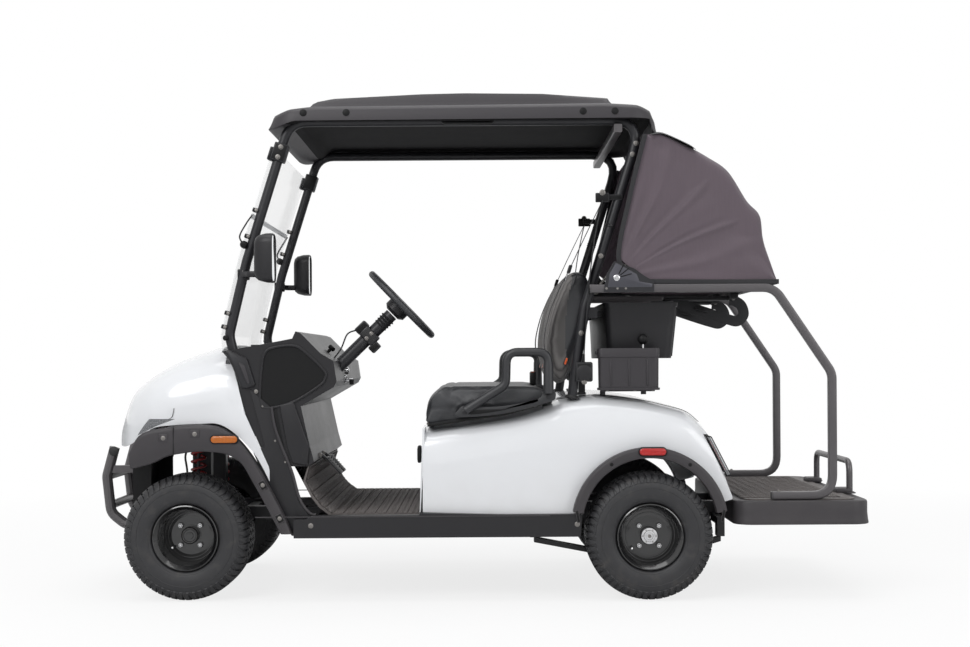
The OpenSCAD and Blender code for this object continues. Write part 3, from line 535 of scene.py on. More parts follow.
class Mould:
    """Collects the geometry of one piece, with a material for each part of it."""

    def __init__(self, material):
        self.mesh = bmesh.new()
        self.materials = [material]

    def paint(self, faces, material):
        material = material or self.materials[0]
        if material not in self.materials:
            self.materials.append(material)
        for face in faces:
            face.material_index = self.materials.index(material)
        return faces

    def skin(self, rings, material=None, closed=True, caps=True):
        """A surface through rings of points."""
        rows = [[self.mesh.verts.new(p) for p in ring] for ring in rings]
        count = len(rows[0])
        faces = []
        for a, b in zip(rows, rows[1:]):
            for j in range(count if closed else count - 1):
                k = (j + 1) % count
                faces.append(self.mesh.faces.new((a[j], a[k], b[k], b[j])))
        if caps:
            faces += [self.mesh.faces.new(rows[0][::-1]), self.mesh.faces.new(rows[-1])]
        bmesh.ops.recalc_face_normals(self.mesh, faces=faces)
        return self.paint(faces, material)

    def sweep(self, route, section, material=None, side=(0, 1, 0), closed=False, grow=None):
        """A section carried along a route; side is a direction off the route at its start."""
        pts = [Vector(p) for p in route]
        count = len(pts)
        side = Vector(side)
        rings = []
        for i, p in enumerate(pts):
            ahead = (pts[(i + 1) % count] if closed or i < count - 1 else p) - (pts[i - 1] if closed or i else p)
            ahead.normalize()
            side = (side - ahead * side.dot(ahead)).normalized()
            up = ahead.cross(side)
            size = grow(i / max(count - 1, 1)) if grow else 1.0
            rings.append([p + side * a * size + up * b * size for a, b in section])
        if closed:
            rings.append(rings[0])
            faces = self.skin(rings, material, caps=False)
            verts = list({v for f in faces for v in f.verts})
            bmesh.ops.remove_doubles(self.mesh, verts=verts, dist=1e-6)
            faces = [
                f
                for f in self.mesh.faces if f.is_valid and f.material_index == self.materials.index(
                    material or self.materials[0]
                )
            ]
            return faces
        return self.skin(rings, material)

    def tube(self, route, diameter, material=None, corner=0.0, side=(0, 1, 0), sides=16):
        line = bent_route(route, corner) if corner else route
        return self.sweep(line, circle_section(diameter, sides), material, side)

    def lathe(self, centre, axis, profile, material=None, sides=32):
        """A profile of (radius, distance along the axis) turned about the axis."""
        axis = Vector(axis).normalized()
        u = axis.orthogonal().normalized()
        w = axis.cross(u)
        rings = []
        for radius, along in profile:
            r = max(radius, 1e-5)
            mid = Vector(centre) + axis * along
            turn = 2 * math.pi / sides
            rings.append([mid + (u * math.cos(i * turn) + w * math.sin(i * turn)) * r for i in range(sides)])
        return self.skin(rings, material)

    def ring(self, centre, axis, profile, material=None, sides=64):
        """A closed profile turned about an axis that it doesn't touch."""
        axis = Vector(axis).normalized()
        u = axis.orthogonal().normalized()
        w = axis.cross(u)
        turn = 2 * math.pi / sides
        rows = []
        for i in range(sides):
            out = u * math.cos(i * turn) + w * math.sin(i * turn)
            rows.append(
                [self.mesh.verts.new(Vector(centre) + axis * along + out * radius) for radius, along in profile]
            )
        faces = []
        for i in range(sides):
            a, b = rows[i], rows[(i + 1) % sides]
            for j in range(len(profile)):
                k = (j + 1) % len(profile)
                faces.append(self.mesh.faces.new((a[j], a[k], b[k], b[j])))
        bmesh.ops.recalc_face_normals(self.mesh, faces=faces)
        return self.paint(faces, material)

    def prism(self, outline, y0, y1, material=None, bevel=0.0, steps=2, turn=None):
        """An outline in the side view made solid across the cart."""
        front = [self.mesh.verts.new((x, y0, z)) for x, z in outline]
        back = [self.mesh.verts.new((x, y1, z)) for x, z in outline]
        count = len(front)
        faces = [self.mesh.faces.new(front), self.mesh.faces.new(back[::-1])]
        for j in range(count):
            k = (j + 1) % count
            faces.append(self.mesh.faces.new((front[k], front[j], back[j], back[k])))
        bmesh.ops.recalc_face_normals(self.mesh, faces=faces)
        self.paint(faces, material)
        if turn:
            bmesh.ops.transform(self.mesh, matrix=turn, verts=front + back)
        if bevel:
            edges = list({e for f in faces for e in f.edges})
            bmesh.ops.bevel(self.mesh, geom=edges, offset=bevel, segments=steps, profile=0.5, affect="EDGES")
        return faces

    def block(self, centre, size, material=None, bevel=0.002, turn=None):
        """A box with eased edges, turned by a matrix about its centre."""
        centre = Vector(centre)
        made = bmesh.ops.create_cube(self.mesh, size=1.0)["verts"]
        shape = Matrix.Translation(centre) @ (turn or Matrix.Identity(4)) @ Matrix.Diagonal((*size, 1))
        bmesh.ops.transform(self.mesh, matrix=shape, verts=made)
        faces = list({f for v in made for f in v.link_faces})
        self.paint(faces, material)
        if bevel:
            edges = list({e for f in faces for e in f.edges})
            bmesh.ops.bevel(self.mesh, geom=edges, offset=bevel, segments=2, profile=0.5, affect="EDGES")
        return faces

    def bolt(self, centre, axis, across=0.014, material=None, washer=True):
        """A flanged six-sided bolt head on a washer."""
        r = across / 2
        if washer:
            self.lathe(
                centre, axis, [(0, 0), (r * 1.7, 0), (r * 1.7, r * 0.18), (r * 1.5, r * 0.3), (0, r * 0.3)], material,
                20
            )
        self.lathe(centre, axis, [(0, 0), (r, 0), (r, r * 0.85), (r * 0.85, r), (0, r)], material, 6)

    def mirror(self):
        """Adds the mirror image across the centre plane."""
        made = bmesh.ops.duplicate(
            self.mesh, geom=self.mesh.verts[:] + self.mesh.edges[:] + self.mesh.faces[:]
        )["geom"]
        verts = [g for g in made if isinstance(g, bmesh.types.BMVert)]
        faces = [g for g in made if isinstance(g, bmesh.types.BMFace)]
        bmesh.ops.scale(self.mesh, vec=(1, -1, 1), verts=verts)
        bmesh.ops.reverse_faces(self.mesh, faces=faces)
        return self

    def done(self, name, body, slot, smooth=38.0, replaces=()):
        """The finished piece, riding on a body."""
        mesh = bpy.data.meshes.new(name)
        bmesh.ops.remove_doubles(self.mesh, verts=self.mesh.verts[:], dist=2e-6)
        self.mesh.to_mesh(mesh)
        self.mesh.free()
        for material in self.materials:
            mesh.materials.append(material)
        return placed(bpy.data.objects.new(name, mesh), body, smooth, replaces)


def placed(piece, body, smooth=38.0, replaces=()):
    """Links a piece, smooths it below an angle, and lets it ride on a body."""
    if piece.name not in bpy.context.scene.collection.objects:
        bpy.context.scene.collection.objects.link(piece)
    piece.data.shade_smooth()
    piece.data.set_sharp_from_angle(angle=math.radians(smooth))
    if body:
        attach(piece, body)
    if replaces:
        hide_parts(*replaces)
    return piece


def modified(piece, kind, **settings):
    """Adds a modifier to a piece and applies it."""
    change = piece.modifiers.new(kind.title(), kind)
    for key, value in settings.items():
        setattr(change, key, value)
    bpy.context.view_layer.update()
    shape = bpy.data.meshes.new_from_object(piece.evaluated_get(bpy.context.evaluated_depsgraph_get()))
    old = piece.data
    piece.modifiers.clear()
    piece.data = shape
    bpy.data.meshes.remove(old)
    return piece


def loose(mould, name):
    """A mould's mesh as an object that is only used to cut another."""
    mesh = bpy.data.meshes.new(name)
    mould.mesh.to_mesh(mesh)
    mould.mesh.free()
    for material in mould.materials:
        mesh.materials.append(material)
    tool = bpy.data.objects.new(name, mesh)
    bpy.context.scene.collection.objects.link(tool)
    return tool


def cut(piece, mould, operation="DIFFERENCE"):
    """Takes a mould's shape out of a piece."""
    tool = loose(mould, piece.name + "_cutter")
    modified(piece, "BOOLEAN", object=tool, operation=operation, solver="EXACT")
    bpy.data.objects.remove(tool)
    return piece


def repaint(nodes, material):
    """Gives CAD nodes a finish through their objects' own slots."""
    for name in nodes:
        for holder in frame["nodes"][name].material_slots:
            holder.material = material


# ---------- Repeated fittings ----------


class Repeat(Graph):
    """A geometry tree with named inputs that ends in Realize Instances and Set Material."""

    def __init__(self, name, **inputs):
        tree = bpy.data.node_groups.new(name, "GeometryNodeTree")
        super().__init__(tree)
        tree.interface.new_socket("Geometry", in_out="INPUT", socket_type="NodeSocketGeometry")
        kinds = {int: "NodeSocketInt", float: "NodeSocketFloat", tuple: "NodeSocketVector"}
        self.names = {}
        for key, value in inputs.items():
            made = tree.interface.new_socket(key, in_out="INPUT", socket_type=kinds[type(value)])
            made.default_value = value
            self.names[key] = made.identifier
        made = tree.interface.new_socket("Material", in_out="INPUT", socket_type="NodeSocketMaterial")
        self.names["Material"] = made.identifier
        tree.interface.new_socket("Geometry", in_out="OUTPUT", socket_type="NodeSocketGeometry")
        self.source = tree.nodes.new("NodeGroupInput")
        self.index = self.node("GeometryNodeInputIndex")

    def input(self, name):
        return Value(self, self.source.outputs[name])

    def close(self, points, item, rotation, scale=(1, 1, 1)):
        inputs = {"Points": points, "Instance": item, "Rotation": rotation, "Scale": scale}
        many = self.node("GeometryNodeInstanceOnPoints", None, inputs)
        solid = self.node("GeometryNodeRealizeInstances", None, {"Geometry": many})
        painted = self.node("GeometryNodeSetMaterial", None, {"Geometry": solid, "Material": self.input("Material")})
        self.node("NodeGroupOutput", None, {0: painted})
        return self

    def apply(self, item, material, **values):
        """The repeated mesh as a plain object that takes the item's name."""
        change = item.modifiers.new("Repeat", "NODES")
        change.node_group = self.tree
        change[self.names["Material"]] = material
        for key, value in values.items():
            change[self.names[key]] = value
        bpy.context.view_layer.update()
        mesh = bpy.data.meshes.new_from_object(item.evaluated_get(bpy.context.evaluated_depsgraph_get()))
        name = item.name
        bpy.data.objects.remove(item)
        mesh.name = name
        mesh.materials.clear()
        mesh.materials.append(material)
        return bpy.data.objects.new(name, mesh)


TREES = {}


def ring_tree():
    """Copies of an item about an axle that runs across the cart."""
    if "ring" not in TREES:
        tree = Repeat("Ring of fittings", Count=4, Start=0.0, Radius=0.05, Centre=(0.0, 0.0, 0.0))
        angle = tree.index / tree.input("Count") * (2 * math.pi) + tree.input("Start")
        x = tree.maths("COSINE", angle) * tree.input("Radius")
        z = tree.maths("SINE", angle) * tree.input("Radius")
        spot = tree.node("ShaderNodeCombineXYZ", None, {0: x, 2: z})
        spot = tree.vector("ADD", spot, tree.input("Centre"))
        points = tree.node("GeometryNodePoints", None, {"Count": tree.input("Count"), "Position": spot})
        turn = tree.node("ShaderNodeCombineXYZ", None, {1: angle * -1.0})
        TREES["ring"] = tree.close(points, tree.input("Geometry"), turn)
    return TREES["ring"]


def rows_tree():
    """Copies of an item in rows on a level floor, each next one turned."""
    if "rows" not in TREES:
        tree = Repeat("Rows of lugs", Count=10, Rows=4, Pitch=0.03, Spacing=0.03, Turn=1.57, Corner=(0.0, 0.0, 0.0))
        column = tree.maths("MODULO", tree.index, tree.input("Count"))
        row = tree.maths("FLOOR", tree.index / tree.input("Count"))
        odd = tree.maths("MODULO", row + column, 2.0)
        spot = tree.node(
            "ShaderNodeCombineXYZ", None, {0: column * tree.input("Pitch"), 1: row * tree.input("Spacing")}
        )
        spot = tree.vector("ADD", spot, tree.input("Corner"))
        count = tree.input("Count") * tree.input("Rows")
        points = tree.node("GeometryNodePoints", None, {"Count": count, "Position": spot})
        turn = tree.node("ShaderNodeCombineXYZ", None, {2: odd * tree.input("Turn")})
        TREES["rows"] = tree.close(points, tree.input("Geometry"), turn)
    return TREES["rows"]


def stitch_tree():
    """Stitches laid end to end along a seam line."""
    if "stitch" not in TREES:
        tree = Repeat("Stitches", Stitch=0.006, Gap=0.004, Thickness=0.0012)
        step = tree.input("Stitch") + tree.input("Gap")
        line = {"Curve": tree.input("Geometry"), "Length": step}
        points = tree.node("GeometryNodeCurveToPoints", {"mode": "LENGTH"}, line)
        rotation = Value(tree, points.socket.node.outputs["Rotation"])
        item = tree.node("GeometryNodeMeshIcoSphere", None, {"Radius": 1.0, "Subdivisions": 1})
        thick = tree.input("Thickness") / 2
        scale = tree.node("ShaderNodeCombineXYZ", None, {0: thick, 1: thick, 2: tree.input("Stitch") / 2})
        TREES["stitch"] = tree.close(points, item, rotation, scale)
    return TREES["stitch"]


def stitches(name, routes, material, body, thickness=0.0014):
    """Rows of stitches along routes of points."""
    line = bpy.data.curves.new(name, "CURVE")
    line.dimensions = "3D"
    for route in routes:
        spline = line.splines.new("POLY")
        spline.points.add(len(route) - 1)
        for point, place in zip(spline.points, route):
            point.co = (*place, 1)
    seam = bpy.data.objects.new(name, line)
    bpy.context.scene.collection.objects.link(seam)
    length = sizes().stitch
    made = stitch_tree().apply(seam, material, Stitch=length, Gap=length * 0.55, Thickness=thickness)
    return placed(made, body, 60.0)


# ---------- Nose ----------

# Stations of the cowl: mm behind the front axle, half width less the side, foot, crown
COWL = (
    (-317, -440, 553, 574), (-300, -330, 553, 625), (-265, -220, 554, 695), (-225, -120, 562, 768),
    (-175, -60, 588, 808), (-115, -25, 629, 845), (-45, -10, 640, 880), (55, -5, 645, 915),
    (125, -2, 644, 935), (185, -2, 610, 945), (255, -2, 538, 950), (310, -2, 436, 950),
)
COWL_EDGE = ((139, 906), (175, 862), (223, 679), (307, 489), (322, 420))
LAMP = ((-178, 602), (-160, 627), (-129, 662), (-34, 662), (-105, 636))
REAR_SHELL = (
    (-818, -10, 321, 625), (-518, -4, 313, 667), (-364, -4, 313, 709), (-300, -4, 313, 733),
    (-177, -4, 313, 743), (-34, -4, 313, 727), (74, -6, 320, 702), (145, -12, 330, 680),
    (192, -18, 340, 640), (235, -24, 345, 583), (272, -28, 350, 480), (305, -34, 359, 372),
)
TAIL = ((202, 594), (226, 590), (300, 445), (281, 439))


def signed_power(value, power):
    return math.copysign(abs(value) ** power, value)


def arch(x, half, foot, crown, power, count, swage=None):
    ring = []
    for i in range(count + 1):
        a = math.pi * i / count
        y = half * signed_power(math.cos(a), 2 / power)
        z = foot + (crown - foot) * abs(math.sin(a)) ** (2 / power)
        if swage:
            y += math.copysign(swage(x, z), y) if abs(y) > half * 0.9 else 0.0
        ring.append((x, y, z))
    return ring


def shell_rings(stations, axle, power, wall, count=44, steps=5, swage=None):
    """Closed rings of a body shell through smoothed stations."""
    rings = []
    for dx, dy, foot, crown in smooth_stations(stations, steps):
        x, half = axle + dx * MM, SIDE + dy * MM
        outer = arch(x, half, foot * MM, crown * MM, power, count, swage)
        inner = arch(x, half - wall, foot * MM, crown * MM - wall, power, count, swage)
        rings.append(outer + inner[::-1])
    return rings


def smooth_stations(stations, steps):
    """Stations filled in between with a curve that doesn't overshoot."""
    filled = []
    for i in range(len(stations) - 1):
        a, b = stations[max(i - 1, 0)], stations[i]
        c, d = stations[i + 1], stations[min(i + 2, len(stations) - 1)]
        for k in range(steps):
            t = k / steps
            row = []
            for p, q, r, s in zip(a, b, c, d):
                m0, m1 = (r - p) / 2, (s - q) / 2
                m0 = 0 if (r - q) * (q - p) <= 0 else m0
                m1 = 0 if (s - r) * (r - q) <= 0 else m1
                h = ((2 * t**3 - 3 * t**2 + 1) * q + (t**3 - 2 * t**2 + t) * m0
                     + (-2 * t**3 + 3 * t**2) * r + (t**3 - t**2) * m1)
                row.append(h)
            filled.append(row)
    return filled + [list(stations[-1])]


def cowl_prism(grow=1.0, depth=0.35):
    """The slots that the headlamps sit in."""
    mould = Mould(body_paint())
    mid = Vector((-0.121, 0.638))
    outline = [(FRONT + mid.x + (x * MM - mid.x) * grow, mid.y + (z * MM - mid.y) * grow) for x, z in LAMP]
    mould.prism(outline, -SIDE - 0.005, -SIDE - 0.005 + depth)
    return mould.mirror()


class CART_OT_cowl(bpy.types.Operator):
    """Moulds the gloss white cowl with its seams, badge boss and pillar slots"""

    bl_idname = "cart.cowl"
    bl_label = "Cowl"

    def execute(self, context):
        mould = Mould(body_paint())

        def swage(x, z):
            along = (x - FRONT) / 0.3
            line = 0.735 + along * 0.035
            return 0.004 * bell(z - line, 0.012) if along > -0.2 else 0.0

        mould.skin(shell_rings(COWL, FRONT, 4, sizes().panel, 52, 6, swage))
        cowl = loose(mould, "cowl_shell")
        cut(cowl, cowl_prism(1.03))
        edge = Mould(body_paint())
        outline = at(FRONT, *COWL_EDGE, (340, 420), (340, 1000), (118, 1000), (118, 902))
        edge.prism(outline, -0.6, 0.6)
        cut(cowl, edge)
        slots = Mould(body_paint())
        slots.block((FRONT + 0.204, -PILLAR, 0.73), (0.118, 0.037, 0.5), bevel=0)
        cut(cowl, slots.mirror())
        placed(cowl, "chassis", 32.0, ["front_cowl"])

        trim = Mould(bright_steel())
        nose = Vector((FRONT - 0.287, 0, 0.655))
        lean = Vector((-0.86, 0, 0.42))
        trim.lathe(
            nose, lean,
            [(0, 0), (0.034, 0), (0.036, 0.003), (0.034, 0.006), (0.029, 0.007), (0.027, 0.0055), (0, 0.0055)]
        )
        trim.done("nose_boss", "chassis", "body_white", 30.0)

        seams = Mould(recess_plastic())
        seams.tube(
            smooth_route(
                [
                    (FRONT + x * MM, y, z * MM)
                    for x, y, z in (
                        (-92, -0.5335, 655), (-66, -0.5445, 660), (-44, -0.5505, 668), (-36, -0.5545, 690),
                        (-34, -0.5545, 702)
                    )
                ],
                6
            ),
            0.0022
        )
        seams.mirror().done("cowl_seams", "chassis", "trim_grey")
        return {"FINISHED"}


class CART_OT_headlamps(bpy.types.Operator):
    """Makes each headlamp: dark housing, bright reflector bowls and a clear lens"""

    bl_idname = "cart.headlamps"
    bl_label = "Headlamps"

    def execute(self, context):
        glass = lens("lamp_clear_lens", (0.42, 0.43, 0.45), 0.009, Alpha=0.42, Coat_Weight=0.8)
        cover = Mould(glass)
        cover.skin(shell_rings(COWL, FRONT, 4, 0.003, 52, 6))
        cover = loose(cover, "headlamp_lenses")
        cut(cover, cowl_prism(0.995), "INTERSECT")
        placed(cover, "chassis", 30.0, ["headlights"])

        house = Mould(recess_plastic())
        for dx, y, z in ((-128, -0.452, 640), (-92, -0.487, 648)):
            centre = (FRONT + dx * MM, y, z * MM)
            house.lathe(
                centre, (-0.35, -0.93, 0.08),
                [
                    (0, -0.022), (0.007, -0.020), (0.013, -0.013), (0.0165, 0.0), (0.0185, 0.0), (0.0185, -0.024),
                    (0, -0.026)
                ],
                bright_steel(), 24
            )
        house.done("headlamp_reflectors", "chassis", "bow_metal", 30.0)
        inner = Mould(recess_plastic())
        inner.skin(
            [
                [Vector(p) + Vector((0, -math.copysign(0.028, p[1]) if abs(p[1]) > 0.2 else 0, -0.004)) for p in ring]
                for ring in shell_rings(COWL, FRONT, 4, 0.003, 52, 6)
            ]
        )
        inner = loose(inner, "headlamp_housings")
        cut(inner, cowl_prism(1.02), "INTERSECT")
        placed(inner, "chassis", 30.0)
        return {"FINISHED"}


FLARE_TOP = (
    (-192, 546), (-149, 611), (-59, 633), (31, 643), (121, 636), (185, 600), (246, 528), (307, 425), (365, 312),
    (392, 248)
)
FLARE_UNDER = (
    (-185, 485), (-113, 503), (-59, 528), (-5, 539), (67, 546), (157, 536), (211, 503), (246, 446), (290, 367),
    (352, 248)
)


def even(points, count):
    """Points spread evenly along a smooth line."""
    line = smooth_route([(x, 0, z) for x, z in points], 12)
    lengths = [0.0]
    for a, b in zip(line, line[1:]):
        lengths.append(lengths[-1] + (b - a).length)
    spread, j = [], 0
    for i in range(count):
        want = lengths[-1] * i / (count - 1)
        while j < len(lengths) - 2 and lengths[j + 1] < want:
            j += 1
        t = (want - lengths[j]) / max(lengths[j + 1] - lengths[j], 1e-9)
        p = line[j].lerp(line[j + 1], min(max(t, 0), 1))
        spread.append((p.x, p.z))
    return spread


def flare(mould, tops, unders, out, reach_in, lip, crown=0.0):
    """A wheel arch moulding: rolled top, face and a lip turned in underneath."""
    rings = []
    for (tx, tz), (ux, uz) in zip(tops, unders):
        top, under = Vector((tx, 0, tz)), Vector((ux, 0, uz))
        down = (under - top).normalized()
        width = (under - top).length

        def point(along, y):
            p = top + down * along
            return (p.x, -y, p.z)

        r = min(0.014, width * 0.3)
        section = [point(0, reach_in), point(0, out - r)]
        section += [point(r - r * math.cos(a), out - r + r * math.sin(a)) for a in (0.4, 0.8, 1.2, 1.57)]
        section += [point(width * 0.5, out + crown), point(width - 0.007, out), point(width - 0.002, out - 0.003)]
        section += [point(width, out - 0.009), point(width, out - lip)]
        inner = [point(width - 0.004, out - lip), point(width - 0.005, out - 0.010), point(width * 0.5, out - 0.005)]
        inner += [point(r, out - 0.005), point(0.005, out - r), point(0.005, reach_in)]
        rings.append(section + inner)
    mould.skin(rings)


class CART_OT_flares(bpy.types.Operator):
    """Makes the grained wheel flares with their joint lines and fixing pads"""

    bl_idname = "cart.flares"
    bl_label = "Wheel flares"

    def execute(self, context):
        front = Mould(trim_plastic())
        out = FLARE - 0.0102
        tops = even(at(FRONT, *FLARE_TOP), 52)
        unders = even(at(FRONT, *FLARE_UNDER), 52)
        flare(front, tops, unders, out, SIDE - 0.034, 0.045, 0.003)
        for x, z in ((-66, 596), (47, 610)):
            front.block((FRONT + x * MM, -out - 0.0005, z * MM), (0.036, 0.009, 0.030), bevel=0.004)
            front.bolt((FRONT + x * MM, -out - 0.004, z * MM), OUTWARD, 0.010, dull_steel())
        for x, z, turn in ((290, 425, 62), (350, 305, 64)):
            front.block((FRONT + x * MM, -out - 0.0005, z * MM), (0.034, 0.008, 0.026), recess_plastic(), 0.003,
                        Matrix.Rotation(math.radians(turn), 4, "Y"))
            front.bolt((FRONT + x * MM, -out - 0.004, z * MM), OUTWARD, 0.009, dull_steel())
        for x, z0, z1 in ((-30, 530, 640),):
            front.block(
                (FRONT + x * MM, -out - 0.0012, (z0 + z1) / 2 * MM), (0.0022, 0.0036, (z1 - z0) * MM),
                recess_plastic(), 0
            )
        front.mirror().done("front_flare_mouldings", "chassis", "trim_grey", 40.0, ["front_flares"])

        rear = Mould(trim_plastic())
        hub = (REAR, 0.270)
        top_r, under_r = 0.282, 0.243
        sweep = [math.radians(-9 + 198 * i / 60) for i in range(61)]
        keep = [a for a in sweep if hub[1] + top_r * math.sin(a) > 0.311]
        tops = [(hub[0] + top_r * math.cos(a), hub[1] + top_r * math.sin(a)) for a in keep]
        unders = [(hub[0] + under_r * math.cos(a), hub[1] + under_r * math.sin(a)) for a in keep]
        unders = [(x, max(z, 0.3135)) for x, z in unders]
        flare(rear, tops, unders, FLARE - 0.0004, SIDE - 0.0032, 0.040, 0.0)
        for a in (57, 122):
            spot = (
                hub[0] + 0.262 * math.cos(math.radians(a)), -FLARE + 0.001, hub[1] + 0.262 * math.sin(math.radians(a))
            )
            rear.bolt(spot, OUTWARD, 0.008, recess_plastic())
        for a in (8, 172):
            spot = (
                hub[0] + 0.263 * math.cos(math.radians(a)), -FLARE + 0.0015,
                hub[1] + 0.263 * math.sin(math.radians(a))
            )
            rear.block(
                spot, (0.012, 0.005, 0.045), recess_plastic(), 0.002,
                Matrix.Rotation(math.radians(10 if a < 90 else -10), 4, "Y")
            )
        rear.mirror().done("rear_flare_mouldings", "chassis", "trim_grey", 40.0, ["rear_flares"])
        return {"FINISHED"}


class CART_OT_lamps(bpy.types.Operator):
    """Makes the side markers and the tail lamps"""

    bl_idname = "cart.lamps"
    bl_label = "Markers and tail lamps"

    def execute(self, context):
        amber = lens("lamp_amber", (0.52, 0.13, 0.004), 0.005, Coat_Weight=0.15)
        red = lens("lamp_red", (0.52, 0.008, 0.008), 0.005, Coat_Weight=0.15)
        clear = lens("lamp_clear_lens", (0.42, 0.43, 0.45), 0.009, Alpha=0.42, Coat_Weight=0.8)
        lamps = Mould(recess_plastic())
        for node_x, y, z, glass in (
            (FRONT + 0.1525, FLARE - 0.0102, 0.590, amber), (REAR + 0.009, FLARE, 0.537, red)
        ):
            for width, height, depth, paint, lift in (
                (0.104, 0.034, 0.006, recess_plastic(), 0.0), (0.096, 0.026, 0.0075, glass, 0.0012)
            ):
                ring = flat_section(width, height, height / 2 - 0.0006, 6)
                rows = []
                for inset, out in ((0.0, -0.010), (0.0, depth - 0.004), (0.0012, depth - 0.0014), (0.0042, depth)):
                    rows.append(
                        [
                            (node_x + a * (1 - 2 * inset / width), -y - out - lift, z + b * (1 - 2 * inset / height))
                            for a, b in ring
                        ]
                    )
                lamps.skin(rows, paint)
        outline = at(REAR, *TAIL)
        mid = Vector((sum(p[0] for p in outline) / 4, 0, sum(p[1] for p in outline) / 4))

        def tail(grow, y0, y1, paint, push=0.0):
            shape = [((x - mid.x) * grow + mid.x + push, (z - mid.z) * grow + mid.z) for x, z in outline]
            return lamps.prism(shape, y0, y1, paint, 0.004, 3)

        tail(0.97, -0.533, -0.460, clear, 0.003)
        tail(0.78, -0.522, -0.468, red, -0.002)
        lamps.mirror().done("lamps_and_lenses", "chassis", "lamp_colour", 40.0, ["marker_lamps"])
        return {"FINISHED"}


class CART_OT_bumper(bpy.types.Operator):
    """Makes the tubular front bumper, its capped ends and the valance finish"""

    bl_idname = "cart.bumper"
    bl_label = "Bumper"

    def execute(self, context):
        low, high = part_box("front_bumper")
        repaint(["front_bumper"], satin_tube())
        repaint(["front_valance"], recess_plastic())
        caps = Mould(soft_rubber())
        caps.lathe(
            (low.x + 0.050, low.y + 0.004, high.z - 0.020), OUTWARD,
            [(0, 0), (0.0185, 0), (0.0192, 0.003), (0.016, 0.0055), (0, 0.006)], sides=24
        )
        caps.mirror().done("bumper_end_caps", "chassis", "frame_black")
        return {"FINISHED"}


# ---------- Dash and controls ----------

LEAN = math.radians(44)
COLUMN = Vector((math.cos(LEAN), 0, math.sin(LEAN)))
COLUMN_FOOT = Vector((FRONT + 0.505, -0.270, 0.820))
WHEEL_HUB = COLUMN_FOOT + COLUMN * 0.376


def on_column(along, side=0.0, up=0.0):
    """A place on the steering column: along it, to its right, and square to it."""
    return COLUMN_FOOT + COLUMN * along + Vector((0, side, 0)) + Vector((-COLUMN.z, 0, COLUMN.x)) * up


